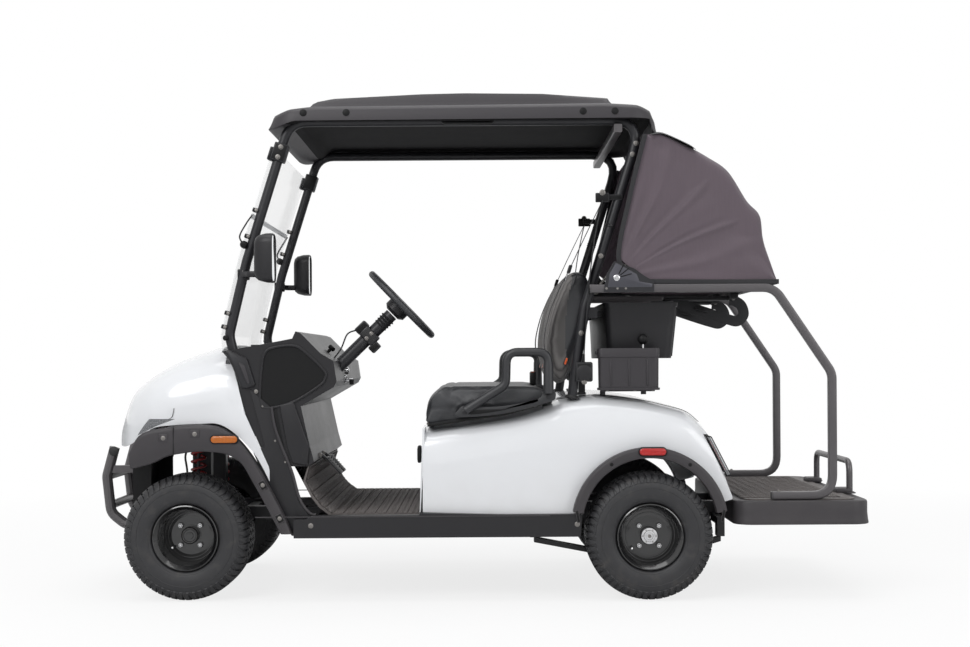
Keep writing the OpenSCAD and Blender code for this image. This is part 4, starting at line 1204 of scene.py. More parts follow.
class CART_OT_dash(bpy.types.Operator):
    """Finishes the dash: recessed black cheeks, cup wells, knobs, key and pillar boots"""

    bl_idname = "cart.dash"
    bl_label = "Dash"

    def execute(self, context):
        repaint(["dash"], dash_plastic())
        half = SIDE - 0.012
        fit = Mould(dash_plastic())
        cheek = at(
            FRONT, (283, 848), (296, 902), (330, 920), (390, 926), (430, 910), (508, 836), (512, 806), (488, 778),
            (395, 722), (300, 700), (276, 726)
        )
        rim = [Vector((x, 0, z)) for x, z in cheek]
        rim = smooth_route(rim, 5, closed=True)
        fit.sweep(
            [(p.x, -half - 0.0015, p.z) for p in rim], flat_section(0.010, 0.009, 0.003), dash_plastic(), closed=True
        )
        centre = sum(rim, Vector()) / len(rim)
        plate = [(p.x, p.z) for p in (centre.lerp(q, 0.985) for q in rim)]
        fit.prism(plate, -half - 0.0012, -half + 0.004, recess_plastic())
        panel = at(FRONT, (345, 712), (398, 724), (455, 560), (448, 492), (392, 500), (372, 560))
        fit.prism(panel, -half - 0.010, -half + 0.004, dash_plastic(), 0.006, 3)
        fit.prism(
            at(FRONT, (296, 690), (336, 704), (366, 548), (392, 470), (352, 470), (318, 560)), -half - 0.002,
            -half + 0.004, recess_plastic(), 0.0015
        )
        for x, z in ((285, 706), (330, 582), (366, 505), (262, 760)):
            fit.bolt((FRONT + x * MM, -half - 0.002, z * MM), OUTWARD, 0.009, dull_steel())
        # side panel from the leg cover down to the rocker, with its rolled rear edge
        side = at(
            FRONT, (240, 770), (292, 563), (251, 541), (346, 310), (388, 238), (449, 238), (449, 315), (414, 365),
            (387, 473), (340, 590), (318, 700)
        )
        fit.prism(side, -half - 0.006, -half + 0.006, dash_plastic(), 0.0025)
        roll = smooth_route(
            side_view(
                at(FRONT, (318, 706), (328, 640), (350, 572), (390, 470), (418, 372), (452, 322), (475, 314)),
                -half - 0.006
            ),
            6
        )
        fit.sweep(roll, flat_section(0.010, 0.010, 0.004), trim_plastic())
        # boot over the foot of each pillar
        boot = at(
            FRONT, (150, 905), (166, 913), (188, 902), (232, 880), (262, 782), (226, 768), (208, 776), (172, 862)
        )
        fit.prism(boot, -half - 0.013, -half + 0.03, frame_coat(), 0.008, 3)
        fit.prism(
            at(FRONT, (196, 870), (226, 858), (246, 790), (230, 784)), -half - 0.0155, -half, trim_plastic(), 0.004, 2
        )
        fit.mirror()
        # cup wells
        for x, y in ((262, 0.362), (262, 0.252)):
            for side in LEFT_RIGHT:
                top = 0.9275
                fit.ring(
                    (FRONT + x * MM, side * y, top), (-0.19, 0, 0.98),
                    [
                        (0.0415, -0.012), (0.0415, 0.001), (0.044, 0.005), (0.049, 0.0045), (0.052, 0.0),
                        (0.052, -0.006)
                    ],
                    dash_plastic(), 56
                )
                fit.lathe(
                    (FRONT + x * MM, side * y, 0.842), (0, 0, 1),
                    [(0, 0), (0.040, 0), (0.0405, 0.002), (0.036, 0.003), (0, 0.003)], soft_rubber(), 40
                )
        # knobs, key and the bright ring round the key
        for side, z in ((-0.185, 0.905), (-0.160, 0.868)):
            spot = Vector((FRONT + 0.487 + (0.905 - z) * 1.3, side, z))
            fit.lathe(
                spot, (0.7, 0, 0.7),
                [(0, 0), (0.006, 0), (0.006, 0.010), (0.013, 0.012), (0.015, 0.020), (0.012, 0.027), (0, 0.028)],
                recess_plastic(), 24
            )
        lock = Vector((FRONT + 0.548, -0.185, 0.800))
        fit.lathe(
            lock, (1, 0, -0.1), [(0, 0), (0.016, 0), (0.016, 0.006), (0.012, 0.010), (0, 0.010)], bright_steel(), 28
        )
        fit.block(lock + Vector((0.020, 0, -0.003)), (0.030, 0.003, 0.014), bright_steel(), 0.001)
        fit.block(lock + Vector((0.028, 0, -0.012)), (0.018, 0.008, 0.022), recess_plastic(), 0.003)
        fit.lathe(
            lock + Vector((0.002, 0.06, 0.03)), (1, 0, 0.05),
            [(0, 0), (0.014, 0), (0.014, 0.008), (0.008, 0.012), (0, 0.012)], bright_steel(), 24
        )
        fit.done("dash_fittings", "chassis", "dash_black", 35.0)
        return {"FINISHED"}


class CART_OT_steering(bpy.types.Operator):
    """Makes the column with its boot, clamp and switch, and the padded steering wheel"""

    bl_idname = "cart.steering"
    bl_label = "Steering"

    def execute(self, context):
        column = Mould(frame_coat())
        column.tube([on_column(-0.14), on_column(0.322)], 0.050, sides=28)
        column.lathe(
            on_column(-0.004), COLUMN, [(0, 0), (0.036, 0), (0.034, 0.008), (0.028, 0.014), (0, 0.014)],
            soft_rubber(), 28
        )
        for i in range(4):
            column.ring(
                on_column(0.300 - i * 0.012), COLUMN, [(0.024, -0.005), (0.031 - i * 0.001, 0), (0.024, 0.005)],
                soft_rubber(), 36
            )
        turn = Matrix.Rotation(-LEAN, 4, "Y")
        column.block(on_column(0.205, 0, 0.0), (0.046, 0.066, 0.066), soft_rubber(), 0.006, turn)
        column.block(on_column(0.207, -0.004, 0.042), (0.052, 0.048, 0.030), recess_plastic(), 0.005, turn)
        column.block(on_column(0.190, -0.004, -0.044), (0.040, 0.050, 0.030), recess_plastic(), 0.005, turn)
        for along in (0.192, 0.218):
            column.bolt(on_column(along, -0.033, 0.0), OUTWARD, 0.009, dull_steel())
        column.tube(
            smooth_route(
                [
                    on_column(0.185, -0.02, 0.05), on_column(0.150, -0.024, 0.062), on_column(0.09, -0.026, 0.038),
                    on_column(0.012, -0.025, 0.030)
                ],
                8
            ),
            0.006, soft_rubber(), sides=10
        )
        column.done("column_fittings", "chassis", "frame_black", 35.0, ["steering_column"])

        wheel = Mould(leather())
        around = [math.radians(i * 360 / 96) for i in range(96)]
        side = Vector((0, 1, 0))
        up = Vector((-COLUMN.z, 0, COLUMN.x))
        radius = 0.1595

        def rim(a, r=radius, lift=0.0):
            return WHEEL_HUB + side * (r * math.cos(a)) + up * (r * math.sin(a)) + COLUMN * lift

        grip = [rim(a) for a in around]
        wheel.sweep(grip, circle_section(0.0255, 18), leather(), COLUMN, closed=True)
        for a in (90, 210, 330):
            a = math.radians(a)
            inner, outer = 0.040, radius - 0.006
            path = [rim(a, inner, -0.006), rim(a, (inner + outer) / 2, -0.011), rim(a, outer, -0.001)]
            across = side * -math.sin(a) + up * math.cos(a)
            wheel.sweep(
                smooth_route(path, 6), flat_section(0.036, 0.007, 0.003), recess_plastic(), across,
                grow=lambda t: 1.25 - 0.5 * math.sin(math.pi * t)
            )
        wheel.lathe(
            WHEEL_HUB - COLUMN * 0.050, COLUMN,
            [
                (0, 0), (0.030, 0), (0.045, 0.012), (0.045, 0.036), (0.060, 0.042), (0.065, 0.048), (0.063, 0.055),
                (0.052, 0.061), (0.030, 0.064), (0, 0.065)
            ],
            dash_plastic(), 48
        )
        wheel.ring(
            WHEEL_HUB + COLUMN * 0.0085, COLUMN, [(0.050, 0), (0.052, 0.003), (0.054, 0.0)], recess_plastic(), 48
        )
        wheel.done("steering_wheel_grip", "steering_wheel", "dash_black", 35.0, ["steering_wheel"])
        seam = [rim(a, radius - 0.0131, 0.001) for a in around] + [rim(0, radius - 0.0131, 0.001)]
        stitches("wheel_grip_stitches", [seam], recess_plastic(), "steering_wheel", 0.0011)
        return {"FINISHED"}


class CART_OT_pedals(bpy.types.Operator):
    """Makes the pedals: curved arms, ribbed rubber pads and their backing plates"""

    bl_idname = "cart.pedals"
    bl_label = "Pedals"

    def execute(self, context):
        mould = Mould(frame_coat())
        slope = math.atan2(513 - 450, 556 - 499)
        for y, width in ((-0.210, 0.070), (-0.330, 0.090)):
            pad_low, pad_high = at(FRONT, (549, 446)), at(FRONT, (496, 510))
            a, b = Vector((pad_low[0][0], y, pad_low[0][1])), Vector((pad_high[0][0], y, pad_high[0][1]))
            mid, run = (a + b) / 2, (b - a)
            turn = Matrix.Rotation(slope, 4, "Y")
            mould.block(mid, (run.length, width, 0.007), soft_rubber(), 0.003, turn)
            lift = Vector((math.sin(slope), 0, math.cos(slope))) * 0.0045
            for i in range(7):
                spot = a.lerp(b, (i + 0.7) / 7.4) + lift
                mould.block(spot, (0.0045, width * 0.88, 0.0035), soft_rubber(), 0.001, turn)
            mould.block(mid - lift * 1.2, (run.length * 0.96, width * 0.9, 0.003), dull_steel(), 0.001, turn)
            arm = [(FRONT + x * MM, y, z * MM) for x, z in ((467.5, 519), (480, 512), (502, 492), (521, 481))]
            mould.sweep(smooth_route(arm, 6), flat_section(0.016, 0.012, 0.004), frame_coat())
            mould.lathe(
                (FRONT + 0.4685, y - 0.014, 0.516), (0, 1, 0), [(0, 0), (0.009, 0), (0.009, 0.028), (0, 0.028)],
                dull_steel(), 20
            )
        mould.done("pedal_pads", "chassis", "dash_black", 35.0, ["pedals"])
        return {"FINISHED"}


# ---------- Windscreen, mirrors and pillars ----------

RAIL_Z = 1.742
FRONT_PILLAR = at(FRONT, (223, 700), (157, 965), (222, 1234), (382, 1742)) + [(0.0, RAIL_Z)]
REAR_PILLAR = [(0.0003, RAIL_Z)] + at(REAR, (-8, 1742), (-225, 1060), (-275, 724.9))


def on_pillar(z, pillar=FRONT_PILLAR):
    """The pillar's line at a height, as x."""
    for (x0, z0), (x1, z1) in zip(pillar, pillar[1:]):
        if min(z0, z1) <= z <= max(z0, z1) and z0 != z1:
            return x0 + (x1 - x0) * (z - z0) / (z1 - z0)
    return pillar[0][0]


class CART_OT_pillars(bpy.types.Operator):
    """Makes the bent roof pillars and their clamps, knobs, straps and bolts"""

    bl_idname = "cart.pillars"
    bl_label = "Pillars"

    def execute(self, context):
        tube = sizes().tube
        front = Mould(frame_coat())
        front.tube(side_view(FRONT_PILLAR, -PILLAR), tube, corner=0.09, sides=22)
        top = Vector((on_pillar(1.63), -PILLAR, 1.63))
        turn = Matrix.Rotation(math.atan2(160, 508), 4, "Y")
        front.block(top, (0.052, 0.050, 0.066), recess_plastic(), 0.004, turn)
        front.block(top + Vector((-0.030, 0, -0.004)), (0.022, 0.036, 0.050), recess_plastic(), 0.004, turn)
        for z in (1.612, 1.648):
            front.bolt((on_pillar(z), -PILLAR - 0.0255, z), OUTWARD, 0.011, dull_steel())
        for z in (1.42, 1.325, 1.045, 0.995):
            front.block((on_pillar(z) - 0.022, -PILLAR, z), (0.026, 0.030, 0.016), recess_plastic(), 0.003, turn)
            front.lathe(
                (on_pillar(z) - 0.020, -PILLAR - 0.022, z), (0, 1, 0),
                [(0, 0), (0.006, 0.001), (0.006, 0.044), (0, 0.045)], dull_steel(), 16
            )
        hinge = Vector((on_pillar(1.295) - 0.027, -PILLAR - 0.004, 1.295))
        front.lathe(
            hinge - Vector((0, 0.024, 0)), (0, 1, 0),
            [(0, 0), (0.012, 0.002), (0.014, 0.010), (0.014, 0.040), (0, 0.045)], recess_plastic(), 20
        )
        strap = [
            hinge + Vector(p)
            for p in (
                (-0.002, -0.012, 0.002), (-0.014, -0.016, 0.030), (0.010, -0.018, 0.075), (0.030, -0.012, 0.105)
            )
        ]
        front.sweep(smooth_route(strap, 7), flat_section(0.014, 0.005, 0.002), soft_rubber())
        clip = Vector((on_pillar(0.955) - 0.012, -PILLAR - 0.02, 0.955))
        front.lathe(
            clip, OUTWARD, [(0, 0), (0.010, 0.0), (0.010, 0.008), (0.005, 0.012), (0, 0.012)], recess_plastic(), 20
        )
        front.mirror().done("front_pillar_frames", "chassis", "frame_black", 35.0, ["front_pillars"])

        rear = Mould(frame_coat())
        rear.tube(side_view(REAR_PILLAR, -PILLAR), tube, corner=0.09, sides=22)
        for z in (1.655, 1.615, 1.245, 0.965):
            rear.bolt((on_pillar(z, REAR_PILLAR), -PILLAR - tube / 2, z), OUTWARD, 0.011, dull_steel())
        tie = [(on_pillar(z, REAR_PILLAR), z) for z in (1.352, 1.360)]
        for x, z in tie:
            rear.ring(
                (x, -PILLAR, z), (0.3, 0, 0.95), [(tube / 2, -0.0018), (tube / 2 + 0.0024, 0), (tube / 2, 0.0018)],
                soft_rubber(), 28
            )
        rear.block((tie[0][0] + 0.004, -PILLAR - 0.022, 1.356), (0.010, 0.006, 0.008), soft_rubber(), 0.001)
        foot = at(REAR, (-273, 738))[0]
        rear.lathe(
            (foot[0] - 0.001, -PILLAR, 0.729), (0.15, 0, 1),
            [(0, 0), (0.026, 0), (0.027, 0.004), (0.022, 0.010), (0, 0.011)], soft_rubber(), 28
        )
        rear.mirror()
        rear.sweep(
            [(REAR - 0.103, -SIDE + 0.024, RAIL_Z - 0.035), (REAR - 0.103, SIDE - 0.024, RAIL_Z - 0.035)],
            flat_section(0.030, 0.030, 0.004), satin_tube(), (1, 0, 0)
        )
        rear.done("rear_pillar_frames", "chassis", "frame_black", 35.0, ["rear_pillars"])
        return {"FINISHED"}


class CART_OT_windscreen(bpy.types.Operator):
    """Makes the two clear windscreen panes with the hinge strip between them"""

    bl_idname = "cart.windscreen"
    bl_label = "Windscreen"

    def execute(self, context):
        half, wall = PILLAR + 0.010, 0.005
        low, mid, top = at(FRONT, (127, 965), (190, 1234), (350, 1742))
        foot = (low[0] + 0.005, low[1] - 0.059)
        seam = tuple(m + 0.32 * (t - m) for m, t in zip(mid, top))
        high = tuple(m + 0.82 * (t - m) for m, t in zip(mid, top))
        pane = Mould(clear_sheet())

        def sheet(line, material, y0, y1, thick=wall, push=0.0):
            outline = [(x + push, z) for x, z in line] + [(x + push + thick, z) for x, z in reversed(line)]
            pane.prism(outline, y0, y1, material, min(0.0012, thick * 0.3), 1)

        lower = [foot, low] + [
            (p.x, p.z)
            for p in smooth_route([Vector((x, 0, z)) for x, z in (low, mid, seam)], 6)
        ][1:]
        sheet(lower, clear_sheet(), -half, half)
        sheet([tuple(s + 0.02 * (t - s) for s, t in zip(seam, high)), high], clear_sheet(), -half, half)
        strip = [
            tuple(s - 0.018 * (t - s) for s, t in zip(seam, high)),
            tuple(s + 0.05 * (t - s) for s, t in zip(seam, high))
        ]
        pale = moulded("screen_seam_strip", (0.62, 0.63, 0.65), 0.30, 200.0, 0.00008, 0.1, Alpha=0.75)
        sheet(strip, pale, -half, half, 0.003, -0.0028)
        pane.done("windscreen_panes", "chassis", "screen", 30.0, ["windscreen"])
        return {"FINISHED"}


class CART_OT_mirrors(bpy.types.Operator):
    """Makes the two door mirrors with rounded backs, rims, glass and bent arms"""

    bl_idname = "cart.mirrors"
    bl_label = "Mirrors"

    def execute(self, context):
        mould = Mould(dash_plastic())
        centre = Vector((FRONT + 0.300, -0.595 + 0.015, 1.240))
        rows = []
        for x, w, h in (
            (-0.034, 0.060, 0.118), (-0.030, 0.082, 0.142), (-0.018, 0.100, 0.162), (0.006, 0.114, 0.174),
            (0.026, 0.118, 0.176), (0.0335, 0.117, 0.175), (0.0345, 0.112, 0.170), (0.030, 0.108, 0.166)
        ):
            rows.append([centre + Vector((x, a, b)) for a, b in flat_section(w, h, min(w, h) * 0.3, 6)])
        mould.skin(rows)
        glass = [
            [centre + Vector((x, a, b)) for a, b in flat_section(w, h, 0.026, 6)]
            for x, w, h in ((0.029, 0.106, 0.164), (0.0312, 0.104, 0.162), (0.0318, 0.100, 0.158))
        ]
        mould.skin(glass, mirror_glass())
        start = centre + Vector((-0.03, 0.035, -0.055))
        end = Vector((on_pillar(1.186) + 0.001, -PILLAR - 0.014, 1.186))
        mould.sweep(
            smooth_route(
                [start, start + Vector((-0.03, 0.006, 0)), (start + end) / 2 + Vector((-0.012, 0, 0)), end], 6
            ),
            flat_section(0.022, 0.016, 0.005), side=(0, 0, 1)
        )
        mould.block(end + Vector((0, 0.010, 0)), (0.044, 0.016, 0.040), recess_plastic(), 0.004)
        mould.bolt(end + Vector((0, 0.001, 0.012)), OUTWARD, 0.009, dull_steel())
        mould.mirror().done("door_mirrors", "chassis", "dash_black", 45.0, ["mirrors"])
        return {"FINISHED"}


# ---------- Roof ----------

ROOF_FRONT, ROOF_BACK, ROOF_HALF = FRONT + 0.300, REAR + 0.045, 0.561


def roof_line(points, x):
    for (x0, z0), (x1, z1) in zip(points, points[1:]):
        if x <= x1 or (x1, z1) == points[-1]:
            t = min(max((x - x0) / (x1 - x0), 0.0), 1.0)
            return z0 + (z1 - z0) * (t * t * (3 - 2 * t) if abs(z1 - z0) > 0.02 else t)
    return points[-1][1]


ROOF_EDGE = at(ROOF_FRONT, (0, 1718), (33, 1763), (87, 1780), (166, 1789)) + at(
    ROOF_BACK, (-195, 1796), (-76, 1789), (-33, 1774), (-15, 1749), (0, 1699)
)
ROOF_CROWN = at(
    ROOF_FRONT, (140, 1782), (172, 1819), (240, 1832), (560, 1847), (720, 1850)
) + at(ROOF_BACK, (-420, 1846), (-182, 1828), (-150, 1786))
ROOF_LIP = at(ROOF_FRONT, (0, 1716), (18, 1712), (120, 1734)) + at(ROOF_BACK, (-34, 1738), (-14, 1688), (0, 1697))


def roof_plan(inset, count=56):
    """The roof's rounded outline, set in by a distance."""
    r = max(0.110 - inset, 0.016)
    x0, x1, y = ROOF_FRONT + inset, ROOF_BACK - inset, ROOF_HALF - inset
    ring = []
    corners = ((x1 - r, y - r, 0), (x0 + r, y - r, 90), (x0 + r, r - y, 180), (x1 - r, r - y, 270))
    for (cx, cy, start), (nx, ny, _) in zip(corners, corners[1:] + corners[:1]):
        arc = [
            (
                cx + r * math.cos(math.radians(start + 90 * k / 10)),
                cy + r * math.sin(math.radians(start + 90 * k / 10))
            )
            for k in range(11)
        ]
        ring += arc
        a, b = arc[-1], (nx + r * math.cos(math.radians(start + 90)), ny + r * math.sin(math.radians(start + 90)))
        ring += [(a[0] + (b[0] - a[0]) * k / count, a[1] + (b[1] - a[1]) * k / count) for k in range(1, count)]
    return ring


def ease(low, high, value):
    t = min(max((value - low) / (high - low), 0.0), 1.0)
    return t * t * (3 - 2 * t)


class CART_OT_roof(bpy.types.Operator):
    """Moulds the roof: rolled edge, raised crown, ribbed underside painted darker as painted shade, and grab handles
    """

    bl_idname = "cart.roof"
    bl_label = "Roof"

    def execute(self, context):
        def above(x, y, inset):
            edge = roof_line(ROOF_EDGE, x)
            lip = roof_line(ROOF_LIP, x)
            turn_in = min(0.016, max((edge - lip) * 0.5, 0.001))
            rolled = edge - turn_in * (1 - min(inset / 0.018, 1.0)) ** 2
            crown = roof_line(ROOF_CROWN, x)
            rise = ease(-(ROOF_HALF - 0.078), -(ROOF_HALF - 0.102), -abs(y))
            inside = ROOF_CROWN[0][0] < x < ROOF_CROWN[-1][0]
            return rolled + (max(crown - edge, 0.0) * rise if inside else 0.0)

        def below(x, inset):
            lip = roof_line(ROOF_LIP, x)
            deep = ease(0.024, 0.046, inset)
            front_deep = ease(ROOF_FRONT + 0.10, ROOF_FRONT + 0.15, x)
            ceiling = 1.7606
            recess = 0.010 * ease(0.060, 0.080, inset)
            return lip + (ceiling + recess - lip) * deep * max(front_deep, 0.0)

        rings = []
        for inset in (
            0.541, 0.45, 0.36, 0.28, 0.21, 0.16, 0.13, 0.115, 0.10, 0.085, 0.07, 0.055, 0.046, 0.040, 0.034, 0.028,
            0.022, 0.012, 0.004
        ):
            rings.append([(x, y, below(x, inset)) for x, y in roof_plan(inset)])
        rings.append([(x, y, roof_line(ROOF_LIP, x) + 0.003) for x, y in roof_plan(0.0)])
        for inset in (
            0.0, 0.003, 0.007, 0.012, 0.018, 0.03, 0.045, 0.06, 0.074, 0.08, 0.085, 0.09, 0.095, 0.10, 0.106, 0.115,
            0.13, 0.142, 0.15, 0.158, 0.166, 0.175, 0.19, 0.21, 0.24, 0.30, 0.38, 0.46, 0.541
        ):
            rings.append(
                [(x, y, max(above(x, y, inset), roof_line(ROOF_LIP, x) + 0.004)) for x, y in roof_plan(inset)]
            )
        mould = Mould(trim_plastic())
        faces = mould.skin(rings)
        # Faces that look down under the roof take the darker underside plastic, as painted shade.
        mould.paint([f for f in faces if f.normal.z < -0.2 and f.calc_center_median().z > 1.728], underside_shade_plastic())
        mould.done("roof_moulding", "chassis", "trim_grey", 50.0, ["roof"])

        fit = Mould(trim_plastic())
        for x in (-0.605, -0.450, 0.405, 0.520):
            fit.lathe(
                (x, -ROOF_HALF + 0.001, 1.765), OUTWARD,
                [(0, 0), (0.013, 0), (0.013, 0.002), (0.010, 0.0035), (0, 0.0035)], recess_plastic(), 24
            )
        fit.mirror()
        for side in LEFT_RIGHT:
            y = side * (ROOF_HALF - 0.050)
            handle = [(-0.115, y, 1.752), (-0.100, y, 1.733), (0.075, y, 1.733), (0.090, y, 1.752)]
            fit.sweep(bent_route(handle, 0.014), flat_section(0.022, 0.010, 0.004), recess_plastic())
            fit.block((-0.012, side * (ROOF_HALF - 0.016), 1.7395), (0.190, 0.018, 0.005), recess_plastic(), 0.002)
        for x in (-0.52, -0.40, -0.28, 0.16, 0.26, 0.36):
            for side in LEFT_RIGHT:
                fit.block((x, side * (ROOF_HALF - 0.0345), 1.747), (0.060, 0.004, 0.012), recess_plastic(), 0.001)
        fit.done("roof_fittings", "chassis", "trim_grey", 35.0)
        return {"FINISHED"}


# ---------- Rear body, floor and seats ----------


class CART_OT_rear_body(bpy.types.Operator):
    """Moulds the gloss white rear body with its swage line, charger port and arches"""

    bl_idname = "cart.rear_body"
    bl_label = "Rear body"

    def execute(self, context):
        def swage(x, z):
            along = (x - (REAR - 0.80)) / 0.36
            if not 0 <= along <= 1:
                return 0.0
            line = 0.478 + 0.030 * along + 0.028 * along * along
            step = 1 / (1 + math.exp(-(z - line) / 0.004))
            return 0.006 * (1 - along) ** 0.6 * step * math.exp(-max(z - line, 0) / 0.09)

        mould = Mould(body_paint())
        mould.skin(shell_rings(REAR_SHELL, REAR, 9, sizes().panel, 150, 8, swage))
        outline = at(REAR, (-830, 321), (-826, 321), (-812, 560), (-810, 624), (-818, 624), (-820, 560))
        mould.prism(outline, -SIDE + 0.016, SIDE - 0.016)
        body = loose(mould, "rear_body_shell")
        arches = Mould(body_paint())
        arches.lathe((REAR, -SIDE - 0.02, 0.270), (0, 1, 0), [(0, 0), (0.246, 0), (0.246, 0.20), (0, 0.20)], sides=96)
        cut(body, arches.mirror())
        well = Mould(body_paint())
        well.block((REAR - 0.58, 0, 0.65), (0.40, 2 * SIDE - 0.14, 0.30), bevel=0)
        cut(body, well)
        tail = Mould(body_paint())
        shape = at(REAR, *TAIL)
        mx, mz = REAR + 0.252, 0.517
        tail.prism([(mx + (x - mx) * 1.03, mz + (z - mz) * 1.03) for x, z in shape], -SIDE - 0.005, -SIDE + 0.115)
        cut(body, tail.mirror())
        placed(body, "chassis", 32.0, ["rear_body"])

        port = Mould(recess_plastic())
        port.block((REAR - 0.8305, -0.500, 0.528), (0.014, 0.052, 0.062), bevel=0.005)
        port.block((REAR - 0.8335, -0.500, 0.528), (0.010, 0.040, 0.048), soft_rubber(), 0.004)
        port.done("charger_port", "chassis", "dash_black")
        seam = Mould(recess_plastic())
        line = [(REAR + (-340 + 8 * k) * MM, -0.5, 0.0) for k in range(2)]
        for side in LEFT_RIGHT:
            top = [
                (REAR + x * MM, side * 0.46, z * MM + 0.0006)
                for x, z in (
                    (-330, 723), (-250, 733.5), (-177, 737.5), (-34, 721.5), (74, 697), (145, 675.5), (192, 637)
                )
            ]
            seam.tube(smooth_route(top, 8), 0.0022, sides=8)
        seam.done("rear_body_seams", "chassis", "trim_grey")
        return {"FINISHED"}


class CART_OT_floor(bpy.types.Operator):
    """Lays the ribbed floor mat, and finishes the rockers, footboard and their fixings"""

    bl_idname = "cart.floor"
    bl_label = "Floor and rockers"

    def execute(self, context):
        repaint(["floor_pan"], floor_rubber())
        repaint(["rocker_panels"], dash_plastic())
        tread = floor_rubber()

        def lug():
            item = Mould(tread)
            zig = [(-0.017, 0.004), (-0.005, -0.004), (0.005, 0.004), (0.017, -0.004)]
            item.sweep([(x, y, 0.0012) for x, y in zig], flat_section(0.0036, 0.0060, 0.001, 1), side=(0, 0, 1))
            return loose(item, "lug")

        length = (REAR - 0.835) - (FRONT + 0.535)
        count, rows = int(length / 0.037), 60
        mat = lug()
        mat.name = "floor_mat_lugs"
        made = rows_tree().apply(mat, tread, Count=count, Rows=rows, Pitch=length / count, Spacing=0.0178, Turn=0.0,
                                 Corner=(FRONT + 0.555, -0.0178 * (rows - 1) / 2, 0.316))
        placed(made, "chassis", 50.0)
        toe = lug()
        toe.name = "toe_board_lugs"
        made = rows_tree().apply(toe, tread, Count=5, Rows=rows, Pitch=0.0375, Spacing=0.0178, Turn=0.0,
                                 Corner=(0.0, -0.0178 * (rows - 1) / 2, 0.0))
        line = [
            Vector((x, 0, z))
            for x, z in at(FRONT, (534, 316.5), (497, 344.5), (469, 380), (441.5, 435), (455, 488))
        ]
        spread = smooth_route(line, 10)
        for vertex in made.data.vertices:
            run = (vertex.co.x + 0.018) / 0.19 * (len(spread) - 2)
            i = max(0, min(int(run), len(spread) - 2))
            ahead = (spread[i + 1] - spread[i])
            out = Vector((-ahead.z, 0, ahead.x)).normalized() * (1 if ahead.x > 0 else -1) * -1
            base = spread[i] + ahead * (run - i)
            out = Vector((abs(out.x), 0, abs(out.z)))
            vertex.co = Vector((base.x, vertex.co.y, base.z)) + out * vertex.co.z
        placed(made, "chassis", 50.0)
        deck_lug = lug()
        deck_lug.name = "footboard_lugs"
        made = rows_tree().apply(deck_lug, tread, Count=10, Rows=55, Pitch=0.0365, Spacing=0.0178, Turn=0.0,
                                 Corner=(REAR + 0.360, -0.0178 * 27, 0.360))
        placed(made, "chassis", 50.0)

        fit = Mould(trim_plastic())
        for x in (REAR - 0.262, FRONT + 0.46):
            fit.bolt((x, -SIDE - 0.0198, 0.277), OUTWARD, 0.011, dull_steel())
        fit.block(((FRONT + REAR) / 2 - 0.05, -SIDE - 0.0195, 0.3085), (1.06, 0.004, 0.004), trim_plastic(), 0.0015)
        fit.block((REAR + 0.762, -0.262, 0.3665), (0.060, 0.090, 0.020), trim_plastic(), 0.006)
        fit.mirror().done("rocker_fixings", "chassis", "trim_grey", 35.0)
        board = Mould(trim_plastic())
        low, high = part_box("footboard")
        wide, deep = high.y - low.y, high.x - low.x
        mid = Vector(((low.x + high.x) / 2, 0))
        deck = high.z - 0.003
        rows = []
        for z, grow in (
            (low.z + 0.012, -0.012), (low.z, -0.004), (low.z, 0.002), (low.z + 0.004, 0.004), (low.z + 0.016, 0.0),
            (low.z + 0.040, -0.004), (deck - 0.010, -0.004), (deck - 0.003, -0.008), (deck, -0.018), (deck, -0.030),
            (deck - 0.002, -0.038)
        ):
            rows.append([(mid.x + a, b, z) for a, b in flat_section(deep + grow, wide + grow, 0.068, 8)])
        board.skin(rows)
        board.skin(
            [
                [(mid.x + a, b, z) for a, b in flat_section(deep - inset, wide - inset, 0.05, 6)]
                for z, inset in ((deck - 0.004, 0.085), (high.z - 0.0012, 0.085), (high.z, 0.090))
            ],
            tread
        )
        for y in (-0.42, -0.14, 0.14, 0.42):
            board.block((mid.x + 0.02, y, low.z + 0.020), (deep - 0.10, 0.006, 0.030), bevel=0.0015)
        board.done("footboard_moulding", "chassis", "trim_grey", 40.0, ["footboard"])
        return {"FINISHED"}


def stuffed(piece, cap, voxel=0.006, pressure=4.0, last=20):
    """Swells a closed form with the cloth solver, held to a greatest move."""
    rest = bpy.context.scene.frame_current
    modified(piece, "REMESH", mode="VOXEL", voxel_size=voxel, use_smooth_shade=True)
    before = [v.co.copy() for v in piece.data.vertices]
    cloth = piece.modifiers.new("Cloth", "CLOTH")
    cloth.settings.use_pressure = True
    cloth.settings.uniform_pressure_force = pressure
    cloth.settings.quality = 4
    cloth.settings.effector_weights.gravity = 0.0
    cloth.collision_settings.use_collision = False
    cloth.point_cache.frame_end = last
    for frame_number in range(1, last + 1):
        bpy.context.scene.frame_set(frame_number)
    swollen = piece.evaluated_get(bpy.context.evaluated_depsgraph_get())
    after = [v.co.copy() for v in swollen.data.vertices]
    piece.modifiers.clear()
    bpy.context.scene.frame_set(rest)
    for vertex, old, new in zip(piece.data.vertices, before, after):
        move = new - old
        vertex.co = old + (move if move.length < cap else move.normalized() * cap)
    modified(piece, "SMOOTH", factor=0.5, iterations=4)
    return piece


CUSHION = (
    (-798, 632), (-801, 682), (-797, 722), (-776, 750), (-735, 763), (-535, 765), (-391, 761), (-345, 741),
    (-352, 722), (-366, 714), (-518, 672)
)


